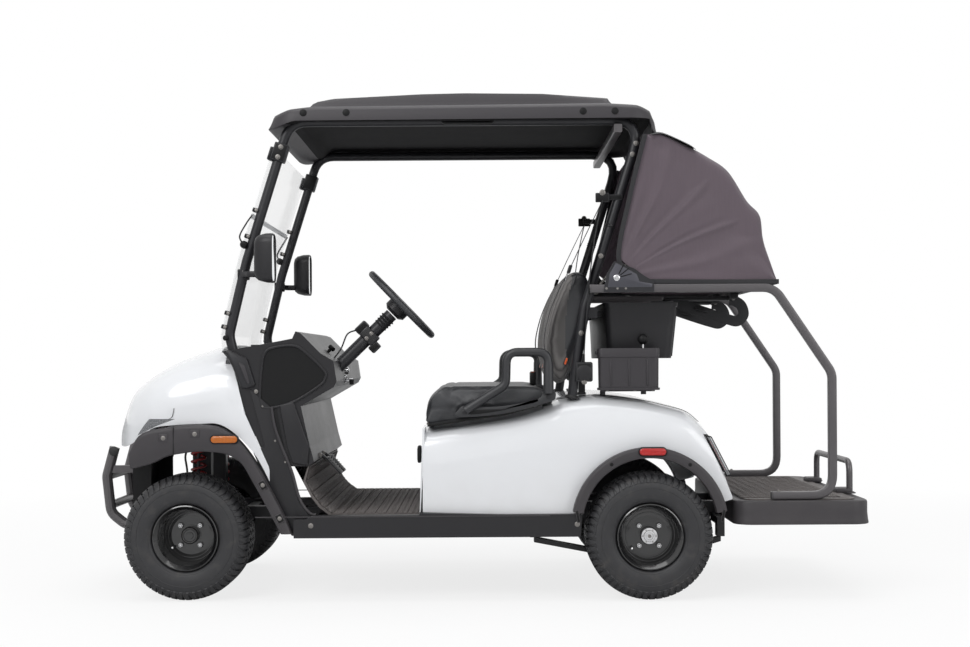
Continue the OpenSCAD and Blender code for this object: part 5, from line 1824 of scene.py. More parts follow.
class CART_OT_cushion(bpy.types.Operator):
    """Makes the crowned leather bench cushion, its piping, seams and stitches"""

    bl_idname = "cart.cushion"
    bl_label = "Seat cushion"

    def execute(self, context):
        outline = [
            (p.x, p.z)
            for p in smooth_route([Vector((x, 0, z)) for x, z in at(REAR, *CUSHION)], 3, closed=True)
        ]
        half = 0.534
        centre = Vector((REAR - 0.56, 0.70))
        rings = []
        for k in range(-24, 25):
            y = half * k / 24
            t = abs(k) / 24
            pull = 1.0 - 0.030 * max(0.0, (t - 0.86) / 0.14) ** 2
            dip = 0.006 * bell(abs(y) - 0.245, 0.15) + 0.010 * bell(y, 0.014)
            ring = []
            for x, z in outline:
                top = ease(0.70, 0.75, z)
                ring.append((centre.x + (x - centre.x) * pull, y, centre.y + (z - centre.y) * pull - dip * top))
            rings.append(ring)
        mould = Mould(leather())
        mould.skin(rings)
        pad = loose(mould, "seat_cushion_pad")
        stuffed(pad, sizes().swell, 0.007)
        low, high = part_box("seat_cushion")
        for vertex in pad.data.vertices:
            x, y, z = vertex.co
            bead = bell(z - 0.700 - 0.02 * (x - REAR + 0.5), 0.006) * 0.0035
            vertex.co.y = math.copysign(min(abs(y), half + 0.010) - (bead if abs(y) > half * 0.96 else 0), y)
            channel = 0.004 * bell(x - (REAR - 0.715), 0.006) if z > 0.73 else 0.0
            vertex.co.z = min(z, 0.7745) - channel
            floor = 0.6290 + max(0.0, (x - (REAR - 0.80)) / 0.436) * 0.0815
            vertex.co.z = max(vertex.co.z, floor)
        modified(pad, "SUBSURF", levels=1, render_levels=1)
        placed(pad, "seat", 70.0, ["seat_cushion"])

        base = Mould(recess_plastic())
        rail = at(
            REAR, (-800, 628.6), (-518, 668.0), (-364, 710.4), (-347, 714), (-352, 722), (-516, 680), (-797, 640)
        )
        base.prism(rail, -0.541, 0.541, bevel=0.0015)
        for y in (-0.3, 0.3):
            base.lathe(
                (REAR - 0.806, y - 0.03, 0.632), (0, 1, 0), [(0, 0), (0.005, 0.001), (0.005, 0.059), (0, 0.06)],
                dull_steel(), 24
            )
        base.done("seat_cushion_base", "seat", "seat_black", 35.0)

        front = [(REAR - 0.7205, y * 0.02, 0.7655) for y in range(-26, 27)]
        back = [(REAR - 0.7095, y * 0.02, 0.7665) for y in range(-26, 27)]
        stitches("seat_cushion_stitches", [front, back], leather(), "seat", 0.0016)
        return {"FINISHED"}


BACK = (
    (-243, 1197), (-286, 1178), (-341, 1057), (-363, 926), (-349, 834), (-328, 790), (-301, 788), (-230, 945),
    (-199, 1096), (-216, 1186)
)


class CART_OT_seat_backs(bpy.types.Operator):
    """Makes the two seat backs: ribbed cloth face, leather shell, bolster and accents"""

    bl_idname = "cart.seat_backs"
    bl_label = "Seat backs"

    def execute(self, context):
        cloth, hide, accent = ribbed_cloth(), leather(), accent_plastic()
        profile = smooth_route([Vector((x, 0, z)) for x, z in at(REAR, *BACK)], 5, closed=True)
        mid = sum(profile, Vector()) / len(profile)
        inner, outer = 0.018, 0.462
        for side, name in ((-1, "left"), (1, "right")):
            rings = []
            for k in range(31):
                t = k / 30
                y = inner + (outer - inner) * t
                edge = abs(2 * t - 1)
                size = math.sqrt(max(1 - edge**7, 0.02)) * (1.0 - 0.05 * edge**2)
                size = 0.80 + 0.20 * size if edge < 0.999 else 0.74
                ring = []
                for p in profile:
                    bulge = 1.0 + 0.02 * math.cos(math.pi * (t - 0.5)) if p.x < mid.x else 1.0
                    q = mid + (p - mid) * size * bulge
                    ring.append((q.x, side * y, q.z))
                rings.append(ring)
            mould = Mould(hide)
            mould.skin(rings)
            pad = loose(mould, "seat_back_" + name)
            stuffed(pad, 0.006, 0.0065, 3.0, 12)
            mesh = pad.data
            mesh.materials.clear()
            for paint in (hide, cloth):
                mesh.materials.append(paint)
            for vertex in mesh.vertices:
                x, y, z = vertex.co
                t = (abs(y) - inner) / (outer - inner)
                for seam in (0.17, 0.83):
                    if x < mid.x + 0.05:
                        vertex.co.x += 0.006 * bell(t - seam, 0.012)
                vertex.co.x = max(vertex.co.x, REAR - 0.3675)
                vertex.co.y = side * min(max(abs(vertex.co.y), 0.0145), 0.4655)
            for face in mesh.polygons:
                c = face.center
                edge_x = on_pillar(
                    c.z, at(REAR, (-262, 1201), (-262, 1196), (-290, 1060), (-296, 926), (-280, 832), (-290, 780))
                )
                face.material_index = 1 if c.x < edge_x else 0
            modified(pad, "SUBSURF", levels=1, render_levels=1)
            placed(pad, "chassis", 70.0, ["seat_backs"] if side < 0 else ())

            piping = Mould(hide)
            for y in (outer + 0.0002, inner - 0.0012):
                line = [
                    Vector((x, side * y, z))
                    for x, z in at(REAR, (-252, 1178), (-286, 1060), (-295, 926), (-283, 842), (-296, 800))
                ]
                piping.tube(smooth_route(line, 8), 0.005, sides=10)
            tab = (REAR - 303 * MM + 0.010, side * (outer + 0.001), 818 * MM + 0.045)
            piping.block(tab, (0.013, 0.004, 0.030), accent, 0.003, Matrix.Rotation(math.radians(18), 4, "Y"))
            for y in (0.080, 0.400):
                piping.block(
                    (REAR - 0.352, side * y, 0.846), (0.012, 0.040, 0.030), accent, 0.004,
                    Matrix.Rotation(math.radians(14), 4, "Y")
                )
            piping.done("seat_back_piping_" + name, "chassis", "seat_black", 35.0)
        repaint(["seat_back_frame"], frame_coat())
        return {"FINISHED"}


class CART_OT_hip_restraints(bpy.types.Operator):
    """Makes the moulded hip restraint loops with their flanges"""

    bl_idname = "cart.hip_restraints"
    bl_label = "Hip restraints"

    def execute(self, context):
        cover = moulded("restraint_rubber", (0.018, 0.0185, 0.021), 0.45, 520.0, 0.00025, 0.2)
        loop = at(REAR, (-662, 688), (-515, 780), (-512, 897), (-362, 897), (-362, 748))
        mould = Mould(cover)
        mould.sweep(
            bent_route(side_view(loop, -0.568), 0.042, 8), circle_section(sizes().rail, 20),
            grow=lambda t: 1.0 + 0.25 * (max(0, t - 0.93) / 0.07)
        )
        base = at(
            REAR, (-690, 664), (-684, 694), (-668, 704), (-640, 700), (-520, 704), (-400, 728), (-380, 756),
            (-342, 760), (-336, 735), (-360, 716), (-520, 676)
        )
        ring = [(p.x, p.z) for p in smooth_route([Vector((x, 0, z)) for x, z in base], 4, closed=True)]
        mould.prism(ring, -0.566, -0.5485, bevel=0.003)
        # The hollow of the flange is drawn as a thin dark patch just proud of its face: painted shade where the
        # hollow would be.
        hollow = [
            (p.x, p.z)
            for p in smooth_route(
                [
                    Vector((x, 0, z))
                    for x, z in at(
                        REAR, (-650, 684), (-600, 692), (-520, 694), (-420, 714), (-400, 724), (-420, 722),
                        (-520, 688), (-640, 672)
                    )
                ],
                3, closed=True
            )
        ]
        mould.prism(hollow, -0.5672, -0.560, recess_plastic(), 0.001)
        for x, z in ((-664, 682), (-362, 736)):
            mould.bolt((REAR + x * MM, -0.566, z * MM), OUTWARD, 0.011, frame_coat())
        mould.mirror().done("hip_restraint_loops", "seat", "bow_metal", 40.0, ["hip_restraints"])
        return {"FINISHED"}


class CART_OT_belts(bpy.types.Operator):
    """Makes the seat belts: webbing, anchors, tongues, reels and buckles"""

    bl_idname = "cart.belts"
    bl_label = "Seat belts"

    def execute(self, context):
        y = -PILLAR - 0.026
        web = webbing()
        belt = Mould(web)
        top, bend, latch, foot = (
            REAR - 0.160, y, 1.445
        ), (REAR - 0.222, y, 1.320), (REAR - 0.281, y, 1.197), (REAR - 0.232, y, 0.862)
        lap = [
            Vector(p)
            for p in (
                top, bend, latch, (REAR - 0.322, -0.505, 1.118), (REAR - 0.356, -0.492, 1.030),
                (REAR - 0.374, -0.490, 0.930), (REAR - 0.352, -0.492, 0.830)
            )
        ]
        back = [Vector(p) for p in (top, (REAR - 0.190, y, 1.300), (REAR - 0.215, y, 1.100), foot)]
        for line in (lap, back):
            belt.sweep(smooth_route(line, 8), flat_section(0.044, 0.0022, 0.0008), side=(0, 1, 0))
        anchor = Vector(top)
        belt.block(anchor + Vector((0, 0.001, 0.012)), (0.050, 0.011, 0.034), recess_plastic(), 0.003)
        belt.block(anchor + Vector((0.034, 0.014, 0.014)), (0.080, 0.016, 0.020), recess_plastic(), 0.003)
        belt.bolt(anchor + Vector((0, -0.005, 0.030)), OUTWARD, 0.013, dull_steel())
        tongue = Vector(latch)
        tilt = Matrix.Rotation(math.radians(18), 4, "Y")
        belt.block(tongue, (0.012, 0.056, 0.030), recess_plastic(), 0.003, tilt)
        belt.block(tongue + Vector((-0.012, 0, -0.026)), (0.004, 0.040, 0.034), bright_steel(), 0.001, tilt)
        reel = Vector(foot)
        belt.block(reel + Vector((0.002, 0.000, -0.038)), (0.062, 0.020, 0.072), recess_plastic(), 0.007)
        belt.lathe(
            reel + Vector((0.002, -0.006, -0.042)), OUTWARD,
            [(0, 0), (0.029, 0), (0.029, 0.005), (0.024, 0.007), (0, 0.007)], dash_plastic(), 32
        )
        belt.bolt(reel + Vector((0.002, -0.008, -0.074)), OUTWARD, 0.012, dull_steel())
        belt.mirror().done("seat_belt_sets", "chassis", "belt_web", 35.0, ["seat_belts"])
        buckles = Mould(recess_plastic())
        for y in (-0.045, 0.045):
            spot = Vector((REAR - 0.401, y, 0.795))
            buckles.block(spot, (0.022, 0.027, 0.050), recess_plastic(), 0.004)
            buckles.block(spot + Vector((-0.001, 0, 0.0245)), (0.014, 0.018, 0.005), accent_plastic(), 0.001)
            buckles.sweep([(spot.x, y, 0.764), (spot.x, y, 0.775)], flat_section(0.014, 0.010, 0.003), web)
        buckles.done("seat_belt_buckles", "seat", "lamp_colour", 35.0, ["belt_buckles"])
        return {"FINISHED"}


# ---------- Wheels ----------

SPRING_Y = 0.262
WHEELS = ("front_left", "front_right", "rear_left", "rear_right")


class CART_OT_tyres(bpy.types.Operator):
    """Makes the four tyres with their sidewall rings and blocked tread"""

    bl_idname = "cart.tyres"
    bl_label = "Tyres"

    def execute(self, context):
        half = [
            (0.1105, 0.070), (0.1190, 0.0665), (0.1205, 0.088), (0.1285, 0.0985), (0.142, 0.1045), (0.163, 0.1070),
            (0.186, 0.1065), (0.203, 0.1015), (0.2145, 0.0915), (0.2210, 0.0790), (0.2240, 0.0600), (0.2255, 0.030)
        ]
        profile = [(r, -y) for r, y in half] + [(0.2258, 0.0)] + [(r, y) for r, y in reversed(half)]
        count = sizes().treads
        for wheel in WHEELS:
            centre = middle("tyre_" + wheel)
            rubber = tyre_rubber("tyre_rubber_" + wheel, centre)
            tyre = Mould(rubber)
            tyre.ring(centre, (0, 1, 0), profile, sides=128)
            for side in LEFT_RIGHT:
                for radius, y in ((0.1340, 0.1005), (0.1765, 0.1066), (0.1975, 0.1030)):
                    tyre.ring(
                        centre, (0, side, 0),
                        [(radius - 0.0022, y - 0.0005), (radius, y + 0.0012), (radius + 0.0022, y - 0.0007)], sides=96
                    )
            tyre.done("tyre_carcass_" + wheel, "wheel_" + wheel, "tyre_rubber", 40.0, ["tyre_" + wheel])
            for side, name in ((-1, "in"), (1, "out")):
                item = Mould(rubber)
                path = (
                    (0.2292, 0.058), (0.2282, 0.070), (0.2255, 0.0815), (0.2190, 0.0930), (0.2085, 0.1012),
                    (0.1985, 0.1056)
                )
                rows = []
                for i, (r, y) in enumerate(path):
                    wide = (0.0098, 0.0098, 0.0094, 0.0088, 0.0072, 0.0044)[i]
                    skew = 0.0022 * math.sin(i * 1.4)
                    deep = 0.006 if i < 4 else 0.004
                    rows.append(
                        [
                            (r, side * y, skew - wide), (r, side * y, skew + wide),
                            (r - deep, side * (y - 0.002), skew + wide + 0.001),
                            (r - deep, side * (y - 0.002), skew - wide - 0.001)
                        ]
                    )
                item.skin(rows)
                made = ring_tree().apply(
                    loose(item, f"tyre_shoulder_{name}_{wheel}"), rubber, Count=count, Radius=0.0, Start=0.03 * side,
                    Centre=tuple(centre)
                )
                placed(made, "wheel_" + wheel, 30.0)
            item = Mould(rubber)
            for y, z in ((-0.040, 0.004), (-0.013, -0.004), (0.013, 0.004), (0.040, -0.004)):
                shape = [
                    (0.2294, y - 0.011, z - 0.010), (0.2294, y + 0.011, z - 0.006), (0.2294, y + 0.011, z + 0.010),
                    (0.2294, y - 0.011, z + 0.006)
                ]
                item.skin([shape, [(x - 0.006, a, b) for x, a, b in shape]])
            made = ring_tree().apply(
                loose(item, "tyre_tread_" + wheel), rubber, Count=count, Radius=0.0, Start=0.0, Centre=tuple(centre)
            )
            placed(made, "wheel_" + wheel, 30.0)
        return {"FINISHED"}


class CART_OT_rims(bpy.types.Operator):
    """Finishes the steel wheels: wheel nuts, hub caps and valves"""

    bl_idname = "cart.rims"
    bl_label = "Wheels"

    def execute(self, context):
        for wheel in WHEELS:
            node = "rim_" + wheel
            repaint([node], black_gloss())
            centre = middle("tyre_" + wheel)
            out = -1 if wheel.endswith("left") else 1
            rear = wheel.startswith("rear")
            disc = (0.030 if rear else -0.022)
            bright = bright_steel()
            nut = Mould(bright)
            nut.lathe(
                (0, out * (disc + 0.006), 0), (0, out, 0),
                [(0, 0), (0.0095, 0), (0.0105, 0.003), (0.0105, 0.0145), (0.0085, 0.0175), (0, 0.0185)], bright, 6
            )
            made = ring_tree().apply(
                loose(nut, "wheel_nuts_" + wheel), bright, Count=sizes().lugs, Radius=0.0508, Start=math.pi / 4,
                Centre=tuple(centre)
            )
            placed(made, "wheel_" + wheel, 30.0)
            cap = Mould(bright if rear else black_gloss())
            face = centre + Vector((0, out * (disc + 0.0292), 0))
            if rear:
                cap.lathe(
                    face - Vector((0, out * 0.004, 0)), (0, out, 0),
                    [
                        (0, 0), (0.0318, 0), (0.0318, 0.005), (0.029, 0.008), (0.021, 0.0095), (0.0195, 0.0125),
                        (0.0135, 0.0135), (0.0125, 0.0115), (0, 0.0115)
                    ],
                    sides=48
                )
                for i in range(6):
                    a = math.radians(60 * i)
                    cap.bolt(
                        face + Vector((0.0245 * math.cos(a), out * 0.0045, 0.0245 * math.sin(a))), (0, out, 0), 0.005,
                        dull_steel(), False
                    )
                cap.bolt(face + Vector((0, out * 0.0072, 0)), (0, out, 0), 0.013, dull_steel(), False)
            else:
                cap.lathe(
                    face - Vector((0, out * 0.002, 0)), (0, out, 0),
                    [
                        (0, 0), (0.0316, 0), (0.0316, 0.003), (0.0285, 0.006), (0.023, 0.006), (0.0215, 0.0045),
                        (0.0135, 0.0045), (0.0125, 0.0075), (0, 0.008)
                    ],
                    sides=48
                )
                cap.ring(face, (0, out, 0), [(0.0245, 0.003), (0.0265, 0.0052), (0.0285, 0.003)], dull_steel(), 48)
            for radius, lift in ((0.0945, 0.004), (0.0835, 0.006), (0.0700, 0.003)):
                cap.ring(
                    centre, (0, out, 0),
                    [
                        (radius - 0.0035, disc), (radius - 0.001, disc + lift), (radius + 0.001, disc + lift),
                        (radius + 0.0035, disc), (radius, disc - 0.002)
                    ],
                    black_gloss(), 96
                )
            for i in range(8):
                a = math.radians(22.5 + 45 * i)
                cap.lathe(
                    centre + Vector((0.0765 * math.cos(a), out * (disc + 0.0005), 0.0765 * math.sin(a))), (0, out, 0),
                    [(0, 0.0), (0.0052, 0.0), (0.0044, 0.0012), (0, 0.0012)], soft_rubber(), 14
                )
            spot = centre + Vector((0.079 * math.cos(3.75), out * (disc + 0.004), 0.079 * math.sin(3.75)))
            cap.lathe(
                spot, (0.15, out, 0.1), [(0, 0), (0.005, 0), (0.004, 0.012), (0.0032, 0.026), (0, 0.027)],
                soft_rubber(), 14
            )
            cap.lathe(
                spot + Vector((0, out * 0.024, 0)), (0.15, out, 0.1),
                [(0, 0), (0.0036, 0), (0.0036, 0.007), (0, 0.008)], bright, 12
            )
            cap.done("hub_cap_" + wheel, "wheel_" + wheel, "bow_metal" if rear else "frame_black", 35.0)
        return {"FINISHED"}


class CART_OT_running_gear(bpy.types.Operator):
    """Finishes the frame, axles, steering and dampers, with coil springs and hoses"""

    bl_idname = "cart.running_gear"
    bl_label = "Running gear"

    def execute(self, context):
        repaint(["chassis_frame", "rear_axle", "knuckle_left", "knuckle_right"], frame_coat())
        repaint(["tie_rod"], dull_steel())
        repaint(["battery_pack"], moulded("battery_case", (0.035, 0.036, 0.040), 0.5, 420.0, 0.0002, 0.2))
        coat, steel = frame_coat(), dull_steel()
        arms = Mould(coat)
        for z in (0.1664, 0.2936):
            inner = 0.165 if z < 0.2 else 0.195
            arms.block((FRONT, -0.360, z), (0.092, 0.040, 0.012), bevel=0.003)
            for x in (-0.038, 0.038):
                arms.block((FRONT + x, -(0.345 + inner) / 2, z), (0.016, 0.345 - inner, 0.012))
                arms.bolt((FRONT + x * 1.25, -inner - 0.010, z), (1 if x > 0 else -1, 0, 0), 0.016, steel)
        for x in (-0.040, 0.040):
            arms.block((FRONT + x, -0.168, 0.217), (0.024, 0.030, 0.090))
        arms.block((FRONT, -SPRING_Y, 0.1664), (0.092, 0.056, 0.012))
        arms.lathe(
            (FRONT, -SPRING_Y, 0.170), (0, 0, 1),
            [
                (0, 0), (0.017, 0), (0.017, 0.165), (0.032, 0.168), (0.032, 0.1755), (0.020, 0.176), (0.020, 0.215),
                (0.007, 0.216), (0.007, 0.3858), (0, 0.3858)
            ],
            sides=28
        )
        arms.mirror().done("front_arms_and_dampers", "chassis", "frame_black", 40.0, ["front_suspension"])
        body = Mould(coat)
        for side in LEFT_RIGHT:
            route = []
            turns, steps = 6.5, 26
            for i in range(int(turns * steps) + 1):
                a = 2 * math.pi * i / steps
                t = i / (turns * steps)
                flat = ease(0, 0.14, t) * ease(0, 0.14, 1 - t)
                rise = t + (1 - flat) * 0.12 * (0.5 - t) * 0.4
                route.append(
                    (FRONT + 0.0255 * math.cos(a), side * SPRING_Y + 0.0255 * math.sin(a), 0.3515 + 0.199 * rise)
                )
            body.tube(route, 0.0095, spring_paint(), side=(0, 0, 1), sides=12)
            hose = [
                (FRONT + x, side * y, z)
                for x, y, z in (
                    (-0.005, 0.215, 0.535), (-0.040, 0.222, 0.545), (-0.056, 0.232, 0.510), (-0.048, 0.244, 0.460),
                    (-0.042, 0.252, 0.390), (-0.040, 0.262, 0.300)
                )
            ]
            body.tube(smooth_route(hose, 8), 0.008, soft_rubber(), sides=10)
        body.done("coil_springs_and_hoses", "chassis", None, 50.0)
        return {"FINISHED"}


# ---------- Rack, stowage and hood ----------


class CART_OT_rack(bpy.types.Operator):
    """Finishes the bag rack: end caps, bolts, strap brackets and the bag straps"""

    bl_idname = "cart.rack"
    bl_label = "Bag rack"

    def execute(self, context):
        hoop = at(REAR, (-205, 1125), (458, 1125), (666, 815), (666, 372), (448, 372))
        rack = Mould(satin_tube())
        rack.sweep(bent_route(side_view(hoop, -RACK), 0.075, 8), flat_section(0.030, 0.030, 0.005, 3))
        for x, z in ((-150, 1125), (-110, 1125), (-80, 1125)):
            rack.bolt((REAR + x * MM, -RACK - 0.015, z * MM), OUTWARD, 0.010, dull_steel())
        for x, z in ((-205, 1125), (448, 372)):
            rack.block((REAR + x * MM - 0.001, -RACK, z * MM), (0.008, 0.0305, 0.0305), soft_rubber(), 0.003)
        for x in (0.47, 0.62):
            rack.bolt((REAR + x, -RACK, 0.387), (0, 0, 1), 0.010, dull_steel())
        rack.mirror()
        rack.sweep(
            [(REAR + 380 * MM, -RACK + 0.0148, 1125 * MM), (REAR + 380 * MM, RACK - 0.0148, 1125 * MM)],
            flat_section(0.024, 0.024, 0.004), side=(1, 0, 0)
        )
        bar_x, bar_half, bar_foot, bar_top = REAR + 0.785, 0.29, 0.3573, 0.478
        bar = [
            (bar_x, -bar_half, bar_foot), (bar_x, -bar_half, bar_top), (bar_x, bar_half, bar_top),
            (bar_x, bar_half, bar_foot)
        ]
        rack.sweep(bent_route(bar, 0.045, 8), circle_section(0.024, 18), side=(1, 0, 0))
        for y in (-bar_half, bar_half):
            rack.lathe(
                (bar_x, y, bar_foot), (0, 0, 1), [(0, 0), (0.0235, 0), (0.0235, 0.003), (0.016, 0.007), (0, 0.007)],
                trim_plastic(), 28
            )
        rack.done("bag_rack_frame", "chassis", "frame_black", 35.0, ["bag_rack"])

        straps = Mould(webbing())
        for y in (-0.230, 0.230):
            straps.block((REAR + 0.352, y, 1.1145), (0.034, 0.128, 0.040), recess_plastic(), 0.004)
            straps.block((REAR + 0.215, y, 1.098), (0.250, 0.070, 0.016), recess_plastic(), 0.005)
            for dy in (-0.045, 0.045):
                straps.bolt((REAR + 0.352, y + dy, 1.0945), (0, 0, -1), 0.010, dull_steel())
            loop = [
                (REAR + x * MM, y, z * MM)
                for x, z in (
                    (130, 1088), (200, 1064), (270, 1040), (340, 1018), (375, 1012), (398, 1036), (390, 1070),
                    (366, 1088), (345, 1092)
                )
            ]
            straps.sweep(smooth_route(loop, 8), flat_section(0.0035, 0.040, 0.001), side=(0, 1, 0))
            straps.block(
                (REAR + 0.235, y, 1.055), (0.046, 0.048, 0.010), recess_plastic(), 0.003,
                Matrix.Rotation(math.radians(14), 4, "Y")
            )
        straps.done("bag_straps", "chassis", "belt_web", 35.0)
        return {"FINISHED"}


class CART_OT_stowage(bpy.types.Operator):
    """Makes the sweater basket and the accessory box with its lid and ball knob"""

    bl_idname = "cart.stowage"
    bl_label = "Basket and accessory box"

    def execute(self, context):
        front, back, half = REAR - 0.150, REAR + 0.120, 0.450
        tub = Mould(dash_plastic())
        rows = []
        heights = (
            (0.872, 0.012, 0.022), (0.875, 0.0105, 0.0215), (0.98, 0.006, 0.011), (1.060, 0.001, 0.002),
            (1.064, -0.003, -0.003), (1.077, -0.003, -0.003)
        )
        for z, a, b in heights:
            rows.append(self.plan(front + a, back - b, half - a * 0.4, z, 0.030))
        for z, a, b in ((1.077, 0.004, 0.004), (0.98, 0.012, 0.017), (0.878, 0.018, 0.028)):
            rows.append(self.plan(front + a, back - b, half - a * 0.6, z, 0.026))
        tub.skin(rows)
        for y in [-0.39 + 0.078 * i for i in range(11)]:
            tub.sweep(
                [(back - 0.0215 + 0.0010, y, 0.880), (back - 0.0015, y, 1.055)], flat_section(0.004, 0.012, 0.001),
                side=(0, 1, 0)
            )
        tub.done("sweater_basket", "chassis", "trim_grey", 35.0, ["basket"])

        low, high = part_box("accessory_box")
        box = Mould(trim_plastic())
        x0, x1, y0, y1, z0, z1 = REAR - 0.178, REAR + 0.042, -0.534, -0.464, 0.757, 0.909
        cx, cy = (x0 + x1) / 2, (y0 + y1) / 2
        w, d = x1 - x0, y1 - y0
        rows = []
        for z, grow in (
            (z0, 0.004), (z0 + 0.008, 0.006), (z0 + 0.0085, -0.004), (z1 - 0.034, -0.002), (z1 - 0.032, 0.003),
            (z1 - 0.006, 0.004), (z1, 0.0), (z1 + 0.0001, -0.010)
        ):
            rows.append([(cx + a, cy + b, z) for a, b in flat_section(w + grow, d + grow, 0.016, 5)])
        box.skin(rows)
        for t in (-0.6, 0.0, 0.6):
            box.block(
                (cx + t * w / 2, y0 + 0.0005, (z0 + z1) / 2 - 0.012), (0.006, 0.004, 0.095), trim_plastic(), 0.0015
            )
        for t in (-0.72, 0.2, 0.78):
            box.bolt((cx + t * w / 2, y0 + 0.010, z0 - 0.001), (0, 0, -1), 0.008, dull_steel())
        box.tube([(x1 - 0.056, cy, z1 - 0.002), (x1 - 0.056, cy, 0.930)], 0.008, bright_steel(), sides=14)
        ball = [
            (0.0198 * math.sin(math.pi * k / 16), 0.0198 - 0.0198 * math.cos(math.pi * k / 16))
            for k in range(17)
        ]
        box.lathe((x1 - 0.056, cy, 0.9222), (0, 0, 1), ball, recess_plastic(), 32)
        box.block((x0 - 0.004, cy, z1 - 0.016), (0.010, 0.040, 0.014), recess_plastic(), 0.003)
        box.tube([(x0 + 0.02, -0.45, low.z), (x0 + 0.02, -0.45, z0 + 0.004)], 0.020, frame_coat())
        box.tube([(x1 - 0.05, -0.45, low.z + 0.004), (x1 - 0.05, -0.45, z0 + 0.004)], 0.020, frame_coat())
        box.block((cx, -0.456, z0 - 0.002), (w * 0.9, 0.050, 0.008), frame_coat(), 0.002)
        box.done("accessory_box_and_knob", "chassis", "trim_grey", 35.0, ["accessory_box"])
        return {"FINISHED"}

    @staticmethod
    def plan(x0, x1, half, z, r):
        return [((x0 + x1) / 2 + a, b, z) for a, b in flat_section(x1 - x0, 2 * half, r, 5)]


HOOD = (
    (-3, 1684), (31, 1687.4), (62, 1690), (148, 1651), (227, 1608), (303, 1554), (371, 1446), (418, 1392),
    (429, 1302), (455, 1212), (473, 1147)
)
PIVOT = Vector((REAR - 0.113, 0, 1.163))


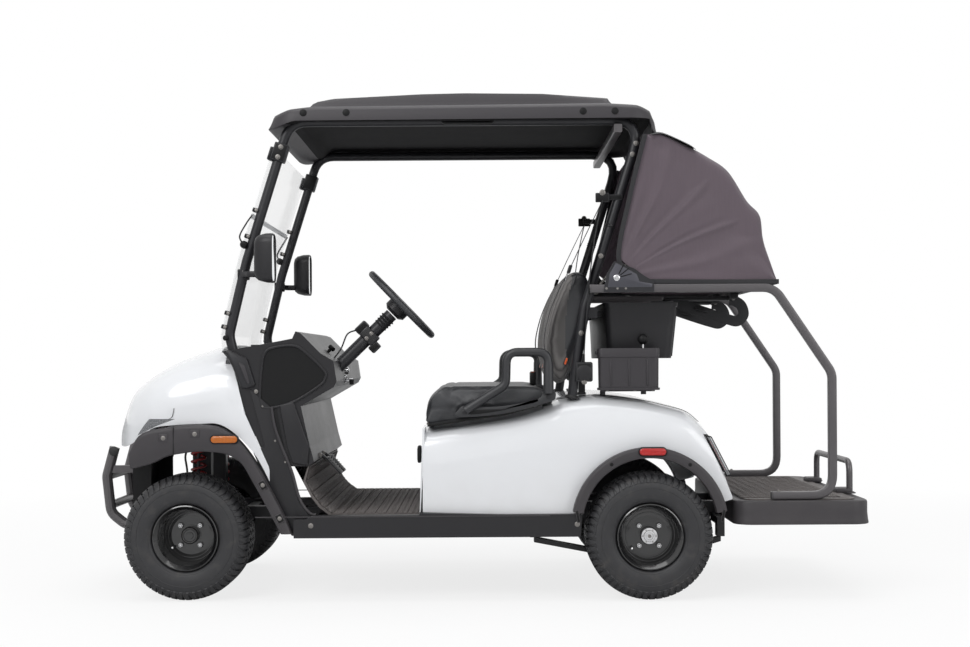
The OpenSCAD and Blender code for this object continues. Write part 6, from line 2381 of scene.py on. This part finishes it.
class CART_OT_hood(bpy.types.Operator):
    """Drapes the folding bag hood over its bows, with hem tapes and fan folds"""

    bl_idname = "cart.hood"
    bl_label = "Bag hood"

    def execute(self, context):
        depth = sizes().fold
        crest = even(at(REAR, *HOOD), 91)
        half, shoulder = 0.5465, 0.050
        rings = []

        def hem(t):
            """Where the side panel ends: up the roof's back edge, down to the bracket, then along the rack."""
            corners = [
                Vector((REAR - 0.003, 0, 1.684)), Vector((REAR - 0.060, 0, 1.470)), Vector((REAR - 0.104, 0, 1.237)),
                Vector((REAR - 0.047, 0, 1.187)), Vector((REAR + 0.004, 0, 1.150)), Vector((REAR + 0.240, 0, 1.146)),
                Vector((REAR + 0.473, 0, 1.147))
            ]
            run = t * (len(corners) - 1)
            i = min(int(run), len(corners) - 2)
            return corners[i].lerp(corners[i + 1], run - i)

        folds = (math.radians(27), math.radians(48), math.radians(66), math.radians(12))

        def pucker(x, z):
            """Radial folds from the pivot and a slack belly between the bows."""
            reach = Vector((x - PIVOT.x, z - PIVOT.z))
            angle = math.atan2(reach.y, reach.x)
            r = reach.length
            spread = 0.0
            for i, fold in enumerate(folds):
                width = 0.020 + 0.012 * i
                off = angle - fold - 0.035 * math.sin(r * 9 + i)
                spread += bell(off, width) * (0.9 if i % 2 else 1.0) - 0.8 * math.exp(
                    -(((off - 2.2 * width) / (1.6 * width)) ** 2)
                )
            belly = math.sin(math.pi * min(max((angle - 0.05) / 1.5, 0), 1)) * ease(0.05, 0.3, r)
            fine = math.sin(angle * 34 + r * 9) * 0.22 * ease(0.1, 0.5, r)
            return depth * (spread * ease(0.02, 0.25, r) * 0.8 - belly * 0.7 + fine * 0.7)

        count = len(crest)
        for i, (x, z) in enumerate(crest):
            t = i / (count - 1)
            edge = hem(t)
            top = Vector((x, 0, z))
            line = []
            side_steps = 40
            for k in range(side_steps):
                s = k / (side_steps - 1)
                p = edge.lerp(top, s * 0.92)
                inward = shoulder * ease(0.55, 1.0, s) ** 2 * 0.35
                line.append((p.x, -max(half - 0.0035 - inward + min(pucker(p.x, p.z), 0.004), 0.5275), p.z))
            arc = 6
            last = Vector(line[-1])
            corner = Vector((x, last.y, z))
            end = Vector((x, last.y + shoulder * 1.3, z + 0.0))
            for k in range(1, arc + 1):
                u = k / arc
                line.append(tuple(last.lerp(corner, u).lerp(corner.lerp(end, u), u)))
            inner = -line[-1][1]
            for k in range(1, 12):
                y = -inner + inner * k / 12
                sag = 0.010 * math.cos(math.pi * y / (2 * inner)) * (0.4 + 0.6 * abs(math.sin(t * math.pi * 3)))
                line.append((x, y, z - sag * ease(0.02, 0.15, t)))
            line.append((x, 0.0, z - 0.010 * (0.4 + 0.6 * abs(math.sin(t * math.pi * 3))) * ease(0.02, 0.15, t)))
            rings.append(line + [(px, -py, pz) for px, py, pz in reversed(line[:-1])])
        mould = Mould(hood_cloth())
        mould.skin(rings, closed=False, caps=False)
        cloth = loose(mould, "bag_hood_cloth")
        modified(cloth, "SUBSURF", levels=1, render_levels=1)
        self.outward(cloth)
        modified(cloth, "SOLIDIFY", thickness=0.0014, offset=-1.0)
        placed(cloth, None, 60.0, ["hood_canvas"])
        flat = self.flat_size(rings)
        tapes = Mould(black_cloth())
        for line in (
            ((-6, 1682), (-60, 1470), (-105, 1238), (-47, 1186), (4, 1149)), ((0, 1150), (240, 1147), (474, 1147))
        ):
            tapes.sweep(smooth_route(side_view(at(REAR, *line), -0.5475), 8), flat_section(0.0033, 0.017, 0.001))
        tapes.mirror()
        back_hem = [(REAR + 0.473, y, 1.147) for y in (-0.546, -0.27, 0.0, 0.27, 0.546)]
        tapes.sweep(back_hem, flat_section(0.0033, 0.017, 0.001), side=(1, 0, 0))
        hems = tapes.done("hood_hem_tapes", None, "canvas", 40.0)
        for piece in (cloth, hems):
            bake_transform(piece)
        return {"FINISHED"}

    @staticmethod
    def outward(cloth):
        """Turns the faces so that the cloth's outside faces away from its middle."""
        mesh = bmesh.new()
        mesh.from_mesh(cloth.data)
        mid = Vector((REAR + 0.15, 0, 1.30))
        votes = sum(1 if f.normal.dot(f.calc_center_median() - mid) > 0 else -1 for f in mesh.faces)
        if votes < 0:
            bmesh.ops.reverse_faces(mesh, faces=mesh.faces[:])
        mesh.to_mesh(cloth.data)
        mesh.free()

    @staticmethod
    def flat_size(rings):
        """Width, length and area of the cloth as it was cut."""
        width = max(sum((Vector(b) - Vector(a)).length for a, b in zip(r, r[1:])) for r in rings)
        middle_line = [Vector(r[len(r) // 2]) for r in rings]
        length = sum((b - a).length for a, b in zip(middle_line, middle_line[1:]))
        area = 0.0
        for r, s in zip(rings, rings[1:]):
            for a, b, c, d in zip(r, r[1:], s[1:], s):
                a, b, c, d = Vector(a), Vector(b), Vector(c), Vector(d)
                area += ((c - a).cross(d - b)).length / 2
        return width, length, min(area, width * length)


class CART_OT_hood_trim(bpy.types.Operator):
    """Makes the hood's black flap, brackets and pivot bolts, and paints the bows"""

    bl_idname = "cart.hood_trim"
    bl_label = "Hood trim and bows"

    def execute(self, context):
        repaint(["hood_bow_upper", "hood_bow_lower"], dull_steel())
        repaint(["hood_brackets"], frame_coat())
        edge = Mould(black_cloth())
        y = -0.5535
        fan = at(
            REAR, (-146, 1128), (-140, 1176), (-116, 1218), (-96, 1208), (-40, 1176), (-30, 1150), (16, 1142),
            (16, 1128)
        )
        edge.prism(
            fan, y - 0.0040, y - 0.0015,
            moulded("bracket_grey", (0.065, 0.065, 0.078), 0.35, 300.0, 0.0001, 0.15, Metallic=0.4), 0.001
        )
        for a in (15, 38, 62):
            a = math.radians(a)
            edge.sweep(
                [
                    (PIVOT.x + 0.016 * math.cos(a), y - 0.0045, PIVOT.z + 0.016 * math.sin(a)),
                    (PIVOT.x + 0.056 * math.cos(a), y - 0.0045, PIVOT.z + 0.056 * math.sin(a))
                ],
                flat_section(0.0022, 0.0036, 0.0008), recess_plastic()
            )
        edge.bolt((PIVOT.x, y - 0.0035, PIVOT.z), OUTWARD, 0.013, bright_steel())
        edge.mirror()
        edge.done("hood_hems_and_brackets", "chassis", "bow_metal", 40.0)

        flap = Mould(black_cloth())
        line = [Vector((x, 0, z)) for x, z in at(REAR, (20, 1690.5), (62, 1693), (150, 1654), (178, 1636))]
        rows = []
        for p in smooth_route(line, 5):
            rows.append(
                [
                    (p.x, y, p.z + (0.0022 if abs(y) < 0.49 else 0.0022 - (abs(y) - 0.49) * 0.25))
                    for y in [-0.540 + 0.045 * k for k in range(25)]
                ]
            )
        flap.skin(rows, closed=False, caps=False)
        top = loose(flap, "hood_top_flap")
        CART_OT_hood.outward(top)
        modified(top, "SOLIDIFY", thickness=0.0016, offset=1.0)
        placed(top, "chassis", 60.0)
        width, length, area = CART_OT_hood.flat_size(rows)
        return {"FINISHED"}


# ---------- Stage ----------


FLOOR_REACH = 60.0
LENS_MM = 57.6
CAMERA_SPOT = (0.0455, -6.158, 0.875)


class CART_OT_stage(bpy.types.Operator):
    """Sets out the floor, soft lights, world and camera"""

    bl_idname = "cart.stage"
    bl_label = "Stage"

    def execute(self, context):
        scene = context.scene
        floor = bpy.data.meshes.new("studio_floor")
        floor.from_pydata(
            [(x * FLOOR_REACH, y * FLOOR_REACH, 0) for x, y in ((-1, -1), (1, -1), (1, 1), (-1, 1))], [],
            [(0, 1, 2, 3)]
        )
        ground = bpy.data.objects.new("studio_floor", floor)
        scene.collection.objects.link(ground)
        paper = bpy.data.materials.new("studio_paper")
        paper.use_nodes = True
        nodes, links = paper.node_tree.nodes, paper.node_tree.links
        nodes.clear()
        out = nodes.new("ShaderNodeOutputMaterial")
        mix = nodes.new("ShaderNodeMixShader")
        glow = nodes.new("ShaderNodeEmission")
        glow.inputs["Color"].default_value = (1, 1, 1, 1)
        base = nodes.new("ShaderNodeBsdfPrincipled")
        base.inputs["Base Color"].default_value = (0.9, 0.9, 0.9, 1)
        base.inputs["Roughness"].default_value = 0.9
        rays = nodes.new("ShaderNodeLightPath")
        place = nodes.new("ShaderNodeTexCoord")
        far = nodes.new("ShaderNodeVectorMath")
        far.operation = "LENGTH"
        fade = nodes.new("ShaderNodeMapRange")
        for name, value in (("From Min", 1.0), ("From Max", 5.0), ("To Min", 0.80), ("To Max", 1.0)):
            fade.inputs[name].default_value = value
        seen = nodes.new("ShaderNodeMath")
        seen.operation = "MAXIMUM"
        both = nodes.new("ShaderNodeMath")
        both.operation = "MULTIPLY"
        for source, target in (
            (place.outputs["Object"], far.inputs[0]),
            (far.outputs["Value"], fade.inputs["Value"]),
            (rays.outputs["Is Camera Ray"], seen.inputs[0]),
            (rays.outputs["Is Transmission Ray"], seen.inputs[1]),
            (seen.outputs[0], both.inputs[0]),
            (fade.outputs["Result"], both.inputs[1]),
            (both.outputs[0], mix.inputs[0]),
            (base.outputs[0], mix.inputs[1]),
            (glow.outputs[0], mix.inputs[2]),
            (mix.outputs[0], out.inputs[0]),
        ):
            links.new(source, target)
        floor.materials.append(paper)

        world = bpy.data.worlds.new("Studio")
        world.use_nodes = True
        scene.world = world
        tree = world.node_tree
        tree.nodes.clear()
        end = tree.nodes.new("ShaderNodeOutputWorld")
        both = tree.nodes.new("ShaderNodeMixShader")
        path = tree.nodes.new("ShaderNodeLightPath")
        soft = tree.nodes.new("ShaderNodeBackground")
        white = tree.nodes.new("ShaderNodeBackground")
        soft.inputs["Color"].default_value = (0.96, 0.98, 1.0, 1)
        soft.inputs["Strength"].default_value = 0.34
        white.inputs["Color"].default_value = (1, 1, 1, 1)
        white.inputs["Strength"].default_value = 1.0
        seen = path.outputs["Is Camera Ray"]
        for other in ("Is Glossy Ray", "Is Transmission Ray"):
            join = tree.nodes.new("ShaderNodeMath")
            join.operation = "MAXIMUM"
            tree.links.new(seen, join.inputs[0])
            tree.links.new(path.outputs[other], join.inputs[1])
            seen = join.outputs[0]
        tree.links.new(seen, both.inputs[0])
        tree.links.new(soft.outputs[0], both.inputs[1])
        tree.links.new(white.outputs[0], both.inputs[2])
        tree.links.new(both.outputs[0], end.inputs[0])

        middle_of = Vector((0, 0, 0.9))
        for name, spot, size, power in (
            ("key", (-2.6, -4.6, 4.2), (3.0, 2.2), 142.0),
            ("top", (0.2, -0.4, 4.6), (4.5, 3.0), 105.0),
            ("fill", (3.8, -3.4, 2.2), (2.4, 2.4), 48.0),
            ("back", (-1.0, 4.6, 3.0), (4.0, 2.0), 70.0),
        ):
            lamp = bpy.data.lights.new(name, "AREA")
            lamp.shape = "RECTANGLE"
            lamp.size, lamp.size_y = size
            lamp.energy = power
            holder = bpy.data.objects.new(name, lamp)
            holder.location = spot
            holder.rotation_euler = (middle_of - Vector(spot)).to_track_quat("-Z", "Y").to_euler()
            holder.visible_glossy = name != "back"
            scene.collection.objects.link(holder)

        lens = bpy.data.cameras.new("Camera")
        lens.lens = LENS_MM
        lens.sensor_width = 36.0
        lens.shift_x = 0.0
        lens.shift_y = 0.036
        lens.clip_end = 400.0
        camera = bpy.data.objects.new("Camera", lens)
        camera.location = CAMERA_SPOT
        camera.rotation_euler = (math.radians(90), math.radians(0.35), 0)
        scene.collection.objects.link(camera)
        scene.camera = camera
        scene.view_settings.view_transform = "Standard"
        scene.view_settings.look = "None"
        scene.view_settings.exposure = 0.0
        scene.view_settings.gamma = 1.0
        return {"FINISHED"}


# ---------- Add-on ----------

OPERATORS = (
    CART_OT_cowl, CART_OT_headlamps, CART_OT_flares, CART_OT_lamps, CART_OT_bumper, CART_OT_dash, CART_OT_steering,
    CART_OT_pedals, CART_OT_pillars, CART_OT_windscreen, CART_OT_mirrors, CART_OT_roof, CART_OT_rear_body,
    CART_OT_floor, CART_OT_cushion, CART_OT_seat_backs, CART_OT_hip_restraints, CART_OT_belts, CART_OT_tyres,
    CART_OT_rims, CART_OT_running_gear, CART_OT_rack, CART_OT_stowage, CART_OT_hood, CART_OT_hood_trim, CART_OT_stage,
)


class CART_PT_build(bpy.types.Panel):
    """Lists the pieces of the golf cart and their sizes"""

    bl_label = "Golf cart"
    bl_idname = "CART_PT_build"
    bl_space_type = "VIEW_3D"
    bl_region_type = "UI"
    bl_category = "Golf cart"

    def draw(self, context):
        layout = self.layout
        for group in (context.scene.cart_sizes, context.scene.cart_colours):
            box = layout.box()
            for key in group.bl_rna.properties.keys():
                if key not in ("rna_type", "name"):
                    box.prop(group, key)
        for operator in OPERATORS:
            layout.operator(operator.bl_idname)


CLASSES = (CartSizes, CartColours, *OPERATORS, CART_PT_build)


def register():
    for item in CLASSES:
        bpy.utils.register_class(item)
    bpy.types.Scene.cart_sizes = bpy.props.PointerProperty(type=CartSizes)
    bpy.types.Scene.cart_colours = bpy.props.PointerProperty(type=CartColours)


def unregister():
    del bpy.types.Scene.cart_colours
    del bpy.types.Scene.cart_sizes
    for item in reversed(CLASSES):
        bpy.utils.unregister_class(item)


def main():
    register()
    for operator in OPERATORS:
        group, name = operator.bl_idname.split(".")
        getattr(getattr(bpy.ops, group), name)()


if __name__ == "__main__":
    main()
